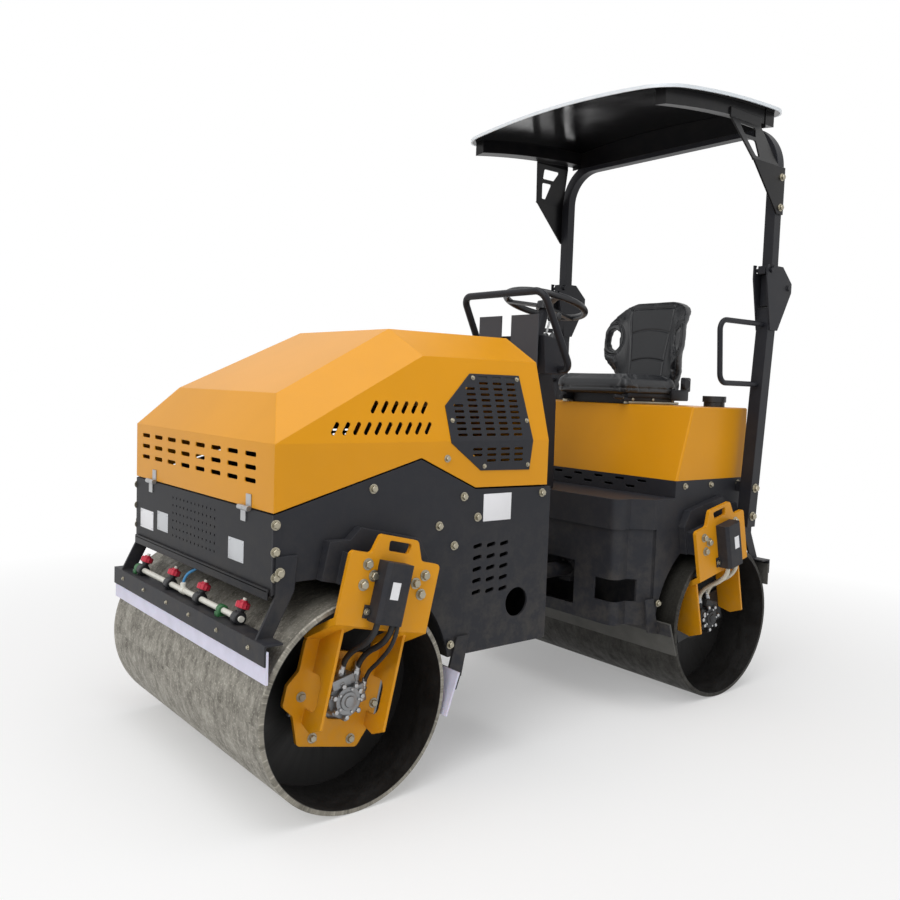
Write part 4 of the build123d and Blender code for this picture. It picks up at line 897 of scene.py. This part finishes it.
class ROLLER_OT_seat(bpy.types.Operator):
    """Makes the padded seat cushion and bucket back, and the slides and recliner under them"""

    bl_idname = "roller.seat"
    bl_label = "Seat"

    def execute(self, context):
        shape = bmesh.new()
        low = (-SEAT_HALF, SEAT_FRONT + 0.022, SEAT_LOW - 0.008)
        slab(shape, low, (SEAT_HALF, SEAT_HEEL - 0.010, SEAT_TOP - 0.010), 0.036)
        mesh = stuffed(shape, "padded_cushion", 0.012, SEAT_LOW + 0.002)
        groove(mesh, cushion_seams, 0.004, 0.005)
        cushion = carried("padded_cushion", mesh, "grained_vinyl", "rear_frame")
        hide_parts("seat_cushion")
        mesh = stuffed(back_form(0.006), "padded_back", 0.009, SEAT_LOW + 0.012)
        groove(mesh, back_seams, 0.005, 0.005)
        back = carried("padded_back", mesh, "grained_vinyl", "rear_frame")
        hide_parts("seat_back")
        black, zinc = bmesh.new(), bmesh.new()
        for side in (-1, 1):
            x = side * 0.200
            slab(zinc, (x - 0.016, 0.770, 1.326), (x + 0.016, 1.150, 1.338), 0.002)
            slab(black, (x - 0.012, 0.740, 1.338), (x + 0.012, 1.120, 1.356), 0.002)
            slab(black, (x - 0.020, 0.760, 1.356), (x + 0.020, 1.110, 1.377), 0.003)
            out = (side, 0, 0)
            for y in (0.80, 0.95, 1.10):
                rivet = aimed((x + side * 0.012, y, 1.347), out)
                turned(zinc, [(0.008, 0.0), (0.008, 0.004), (0.005, 0.006)], rivet, 12)
            hinge = side * SEAT_HALF
            slab(black, (hinge - 0.008, 1.060, 1.345), (hinge + 0.008, 1.190, 1.400), 0.006)
            slab(black, (hinge - 0.008, 1.135, 1.390), (hinge + 0.008, 1.205, 1.462), 0.008)
            knob = aimed((side * 0.2445, 1.155, 1.430), out)
            turned(black, [(0.030, 0.0), (0.030, 0.010), (0.024, 0.014)], knob, 24, 0.06)
        # Slide lever with its sleeve, in front of the left rail
        lever = aimed((0.205, 0.800, 1.345), (0, -0.98, 0.12))
        turned(zinc, [(0.005, 0.0), (0.005, 0.110)], lever, 12)
        turned(black, [(0.009, 0.070), (0.010, 0.075), (0.010, 0.118), (0.006, 0.124)], lever, 16)
        fixed(zinc, "seat_slides", "chromated_zinc", "rear_frame")
        fixed(black, "seat_recliner", "black_powder_coat", "rear_frame")
        return {"FINISHED"}


class ROLLER_OT_cab(bpy.types.Operator):
    """Sets the dials, switches, key and levers of the console"""

    bl_idname = "roller.cab"
    bl_label = "Console fittings"

    def execute(self, context):
        black, dial, zinc = bmesh.new(), bmesh.new(), bmesh.new()
        back = Vector((0, 1, 0))
        for x in (-0.120, -0.030):
            spot = Vector((x, CONSOLE_Y, 1.530))
            turned(black, [(0.040, 0.0), (0.040, 0.010), (0.036, 0.014), (0.033, 0.010)], aimed(spot, back), 32)
            turned(dial, [(0.033, 0.004), (0.033, 0.0105)], aimed(spot, back), 32)
            slab(black, spot + Vector((-0.0012, 0.0105, -0.004)), spot + Vector((0.0012, 0.0115, 0.026)), 0.0004)
        for x in spread(-0.150, 0.010, 5):
            slab(black, (x - 0.012, CONSOLE_Y, 1.462), (x + 0.012, CONSOLE_Y + 0.006, 1.484), 0.002)
            slab(black, (x - 0.008, CONSOLE_Y + 0.005, 1.466), (x + 0.008, CONSOLE_Y + 0.010, 1.480), 0.002)
        turned(zinc, [(0.014, 0.0), (0.014, 0.006), (0.011, 0.009)], aimed((0.060, CONSOLE_Y, 1.475), back))
        slab(zinc, (0.0585, CONSOLE_Y + 0.008, 1.463), (0.0615, CONSOLE_Y + 0.032, 1.487), 0.001)
        for x in (0.110, 0.155):
            lever = aimed((x, 0.300, 1.596), (0.10, 0.22, 1.0))
            turned(black, [(0.022, 0.0), (0.020, 0.012), (0.012, 0.030), (0.008, 0.034)], lever)
            turned(zinc, [(0.005, 0.020), (0.005, 0.095)], lever, 12)
            turned(black, [(0.007, 0.090), (0.013, 0.098), (0.015, 0.112), (0.011, 0.124), (0.004, 0.128)], lever)
        fixed(black, "console_fittings", "moulded_black_plastic", "rear_frame")
        fixed(dial, "console_dials", "dial_face", "rear_frame")
        fixed(zinc, "console_levers", "zinc_plate", "rear_frame")
        # Horn button on the wheel's hub
        horn = bmesh.new()
        hub = aimed(WHEEL_AT, (0, math.sin(WHEEL_TILT), math.cos(WHEEL_TILT)))
        turned(horn, [(0.030, 0.004), (0.030, 0.008), (0.022, 0.013), (0.004, 0.015)], hub, 28)
        fixed(horn, "horn_button", "moulded_black_plastic", "steering_wheel")
        return {"FINISHED"}


class ROLLER_OT_trim(bpy.types.Operator):
    """Adds the front panel's folded lip, a black strip behind the vents' slots as painted shade, and the canopy's rear
    valance
    """

    bl_idname = "roller.trim"
    bl_label = "Trim"

    def execute(self, context):
        lip = bmesh.new()
        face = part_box("front_tub")[0][1]
        slab(lip, (-0.566, face - 0.010, 0.736), (0.566, face, 0.748), 0.003)
        slab(lip, (-0.566, face - 0.010, 0.714), (0.566, face - 0.005, 0.744), 0.002)
        fixed(lip, "front_panel_lip", "slate_powder_coat", "front_frame")
        slot_shade = bmesh.new()
        for side in (-1, 1):
            # A black strip between the vent's sheet and the hood, along the vent's top row of slots, is painted shade
            # seen through the slots
            fore, normal = struck("hood_vents", side, *VENT_BOLTS[0])
            aft, _ = struck("hood_vents", side, *VENT_BOLTS[1])
            down = Vector((0, aft.y - fore.y, 0)).cross(normal).normalized() * side
            ring = [fore - down * 0.010, aft - down * 0.010, aft + down * 0.014, fore + down * 0.014]
            lofted(slot_shade, [[point - normal * under for point in ring] for under in (0.0040, 0.0022)])
        fixed(slot_shade, "vent_seals", "braided_rubber", "hood")
        sheet = bmesh.new()
        columns = []
        for x in spread(-0.600, 0.600, 25):
            hit, top, _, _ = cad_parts["canopy_liner"].ray_cast((x, 1.170, 2.60), (0, 0, 1))
            if not hit:
                raise RuntimeError(f"no canopy over x {x}")
            columns.append([(x, 1.169, 2.606), (x, 1.172, 2.606), (x, 1.172, top.z), (x, 1.169, top.z)])
        lofted(sheet, columns)
        fixed(sheet, "canopy_valance", "deep_black_enamel", "roll_bar")
        return {"FINISHED"}


class ROLLER_OT_plates(bpy.types.Operator):
    """Fixes the blank plates of the front panel, the side panel and the hose guards"""

    bl_idname = "roller.plates"
    bl_label = "Blank plates"

    def execute(self, context):
        metal, white = bmesh.new(), bmesh.new()
        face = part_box("front_tub")[0][1]
        # Rivets sit this far in from a plate's edges
        inset = 0.008
        for shape, x, z in (
            (metal, (0.272, 0.384), (0.795, 0.867)),
            (metal, (-0.352, -0.248), (0.798, 0.870)),
            (white, (-0.530, -0.395), (0.784, 0.858)),
        ):
            slab(shape, (x[0], face - 0.0012, z[0]), (x[1], face + 0.001, z[1]), 0.0006)
            for rivet_x in (x[0] + inset, x[1] - inset):
                for rivet_z in (z[0] + inset, z[1] - inset):
                    rivet = aimed((rivet_x, face - 0.001, rivet_z), (0, -1, 0))
                    turned(metal, [(0.003, 0.0), (0.003, 0.0015), (0.0015, 0.0025)], rivet, 10)
        for side in (-1, 1):
            slab(white, (side * (SIDE_X - 0.001), -0.436, 0.900), (side * (SIDE_X + 0.0012), -0.302, 0.999), 0.0006)
        fixed(white, "front_blank_plates", "white_enamel_plate", "front_frame")
        fixed(metal, "front_data_plates", "satin_anodised_plate", "front_frame")
        for end, body in ((-1, "front_frame"), (1, "rear_frame")):
            shape = bmesh.new()
            for side in (-1, 1):
                corners = ((-0.041, 0.362), (-0.009, 0.362), (-0.009, 0.417), (-0.041, 0.417))
                lofted(shape, [[on_bracket(side * x, u, v, end) for u, v in corners] for x in (0.7350, 0.7364)])
            fixed(shape, f"{body}_guard_plates", "white_enamel_plate", body)
        return {"FINISHED"}


class ROLLER_OT_stage(bpy.types.Operator):
    """Sets the camera, the pale floor, the lights and the white surround"""

    bl_idname = "roller.stage"
    bl_label = "Studio"

    def execute(self, context):
        scene = context.scene
        scene.view_settings.view_transform = "Standard"
        back = Vector(
            (
                math.sin(AZIMUTH) * math.cos(ELEVATION),
                -math.cos(AZIMUTH) * math.cos(ELEVATION),
                math.sin(ELEVATION),
            )
        )
        right = Vector((math.cos(AZIMUTH), math.sin(AZIMUTH), 0))
        up = back.cross(right)
        across = math.cos(ROLL) * right + math.sin(ROLL) * up
        above = math.cos(ROLL) * up - math.sin(ROLL) * right
        lens = bpy.data.cameras.new("photo_camera")
        lens.lens, lens.sensor_width = LENS, 36
        turn = Matrix((across, above, back)).transposed().to_4x4()
        scene.camera = linked("photo_camera", lens)
        scene.camera.matrix_world = Matrix.Translation(CAMERA_AT) @ turn

        shape = bmesh.new()
        bmesh.ops.create_circle(shape, cap_ends=True, segments=96, radius=scene.roller_sizes.floor_wide / 2)
        floor = linked("studio_floor", meshed(shape, "studio_floor"))
        # Matt white floor that goes over to plain white away from the machine
        made = bpy.data.materials.new("matt_white_floor")
        tree = bare_tree(made)
        place = add(tree, "ShaderNodeTexCoord").outputs["Object"]
        away = add(tree, "ShaderNodeVectorMath", {0: place}, operation="LENGTH")
        share = add(tree, "ShaderNodeMapRange", {"Value": away, "From Min": 0.9, "From Max": 4.2, "To Min": 0.3})
        near = add(tree, "ShaderNodeBsdfDiffuse", {"Color": (0.93, 0.93, 0.93, 1)})
        far = add(tree, "ShaderNodeEmission", {"Color": (1, 1, 1, 1), "Strength": 1.0})
        blend = add(tree, "ShaderNodeMixShader", {"Fac": share, 1: near, 2: far})
        add(tree, "ShaderNodeOutputMaterial", {"Surface": blend})
        floor.data.materials.append(made)

        # White to the camera and in reflections, but a softer light on the machine
        scene.world = bpy.data.worlds.new("soft_surround")
        tree = bare_tree(scene.world)
        light = add(tree, "ShaderNodeBackground", {"Color": (1, 1, 1, 1), "Strength": 0.36})
        seen = add(tree, "ShaderNodeBackground", {"Color": (1, 1, 1, 1), "Strength": 1.0})
        path = add(tree, "ShaderNodeLightPath").outputs
        mirrored = {0: path["Is Camera Ray"], 1: path["Is Glossy Ray"]}
        mirrored = add(tree, "ShaderNodeMath", mirrored, operation="MAXIMUM")
        straight = {0: mirrored, 1: path["Is Transmission Ray"]}
        straight = add(tree, "ShaderNodeMath", straight, operation="MAXIMUM")
        mix = add(tree, "ShaderNodeMixShader", {"Fac": straight, 1: light, 2: seen})
        add(tree, "ShaderNodeOutputWorld", {"Surface": mix})

        # Name, place, target, power in watts, width in metres
        for name, place, target, power, wide in (
            ("sky_panel", (1.0, -1.0, 6.5), (0, 0, 0.6), 250, 6.0),
            ("front_panel", (4.2, -8.0, 6.2), (0, -0.2, 0.9), 250, 5.0),
            ("left_panel", (6.0, 0.5, 2.6), (0, 0.2, 0.8), 8, 4.0),
        ):
            lamp = bpy.data.lights.new(name, "AREA")
            lamp.energy, lamp.size = power, wide
            linked(name, lamp).matrix_world = aimed(place, Vector(place) - Vector(target))
        return {"FINISHED"}


class VIEW3D_PT_roller(bpy.types.Panel):
    """Lists the finish's sizes, colours and steps"""

    bl_label = "Tandem Roller Finish"
    bl_space_type = "VIEW_3D"
    bl_region_type = "UI"
    bl_category = "Roller"

    def draw(self, context):
        for step in STEPS:
            self.layout.operator(step.bl_idname)
        for group in (context.scene.roller_sizes, context.scene.roller_colours):
            for name in group.bl_rna.properties.keys():
                if name not in {"rna_type", "name"}:
                    self.layout.prop(group, name)


STEPS = (
    ROLLER_OT_stage,
    ROLLER_OT_finishes,
    ROLLER_OT_hoses,
    ROLLER_OT_motors,
    ROLLER_OT_water_bars,
    ROLLER_OT_seat,
    ROLLER_OT_cab,
    ROLLER_OT_trim,
    ROLLER_OT_plates,
    ROLLER_OT_bolts,
)
CLASSES = (RollerColours, RollerSizes, *STEPS, VIEW3D_PT_roller)


def register():
    for item in CLASSES:
        bpy.utils.register_class(item)
    bpy.types.Scene.roller_colours = PointerProperty(type=RollerColours)
    bpy.types.Scene.roller_sizes = PointerProperty(type=RollerSizes)


def unregister():
    del bpy.types.Scene.roller_sizes
    del bpy.types.Scene.roller_colours
    for item in reversed(CLASSES):
        bpy.utils.unregister_class(item)


def main():
    register()
    for step in STEPS:
        group, name = step.bl_idname.split(".")
        getattr(getattr(bpy.ops, group), name)()


if __name__ == "__main__":
    main()
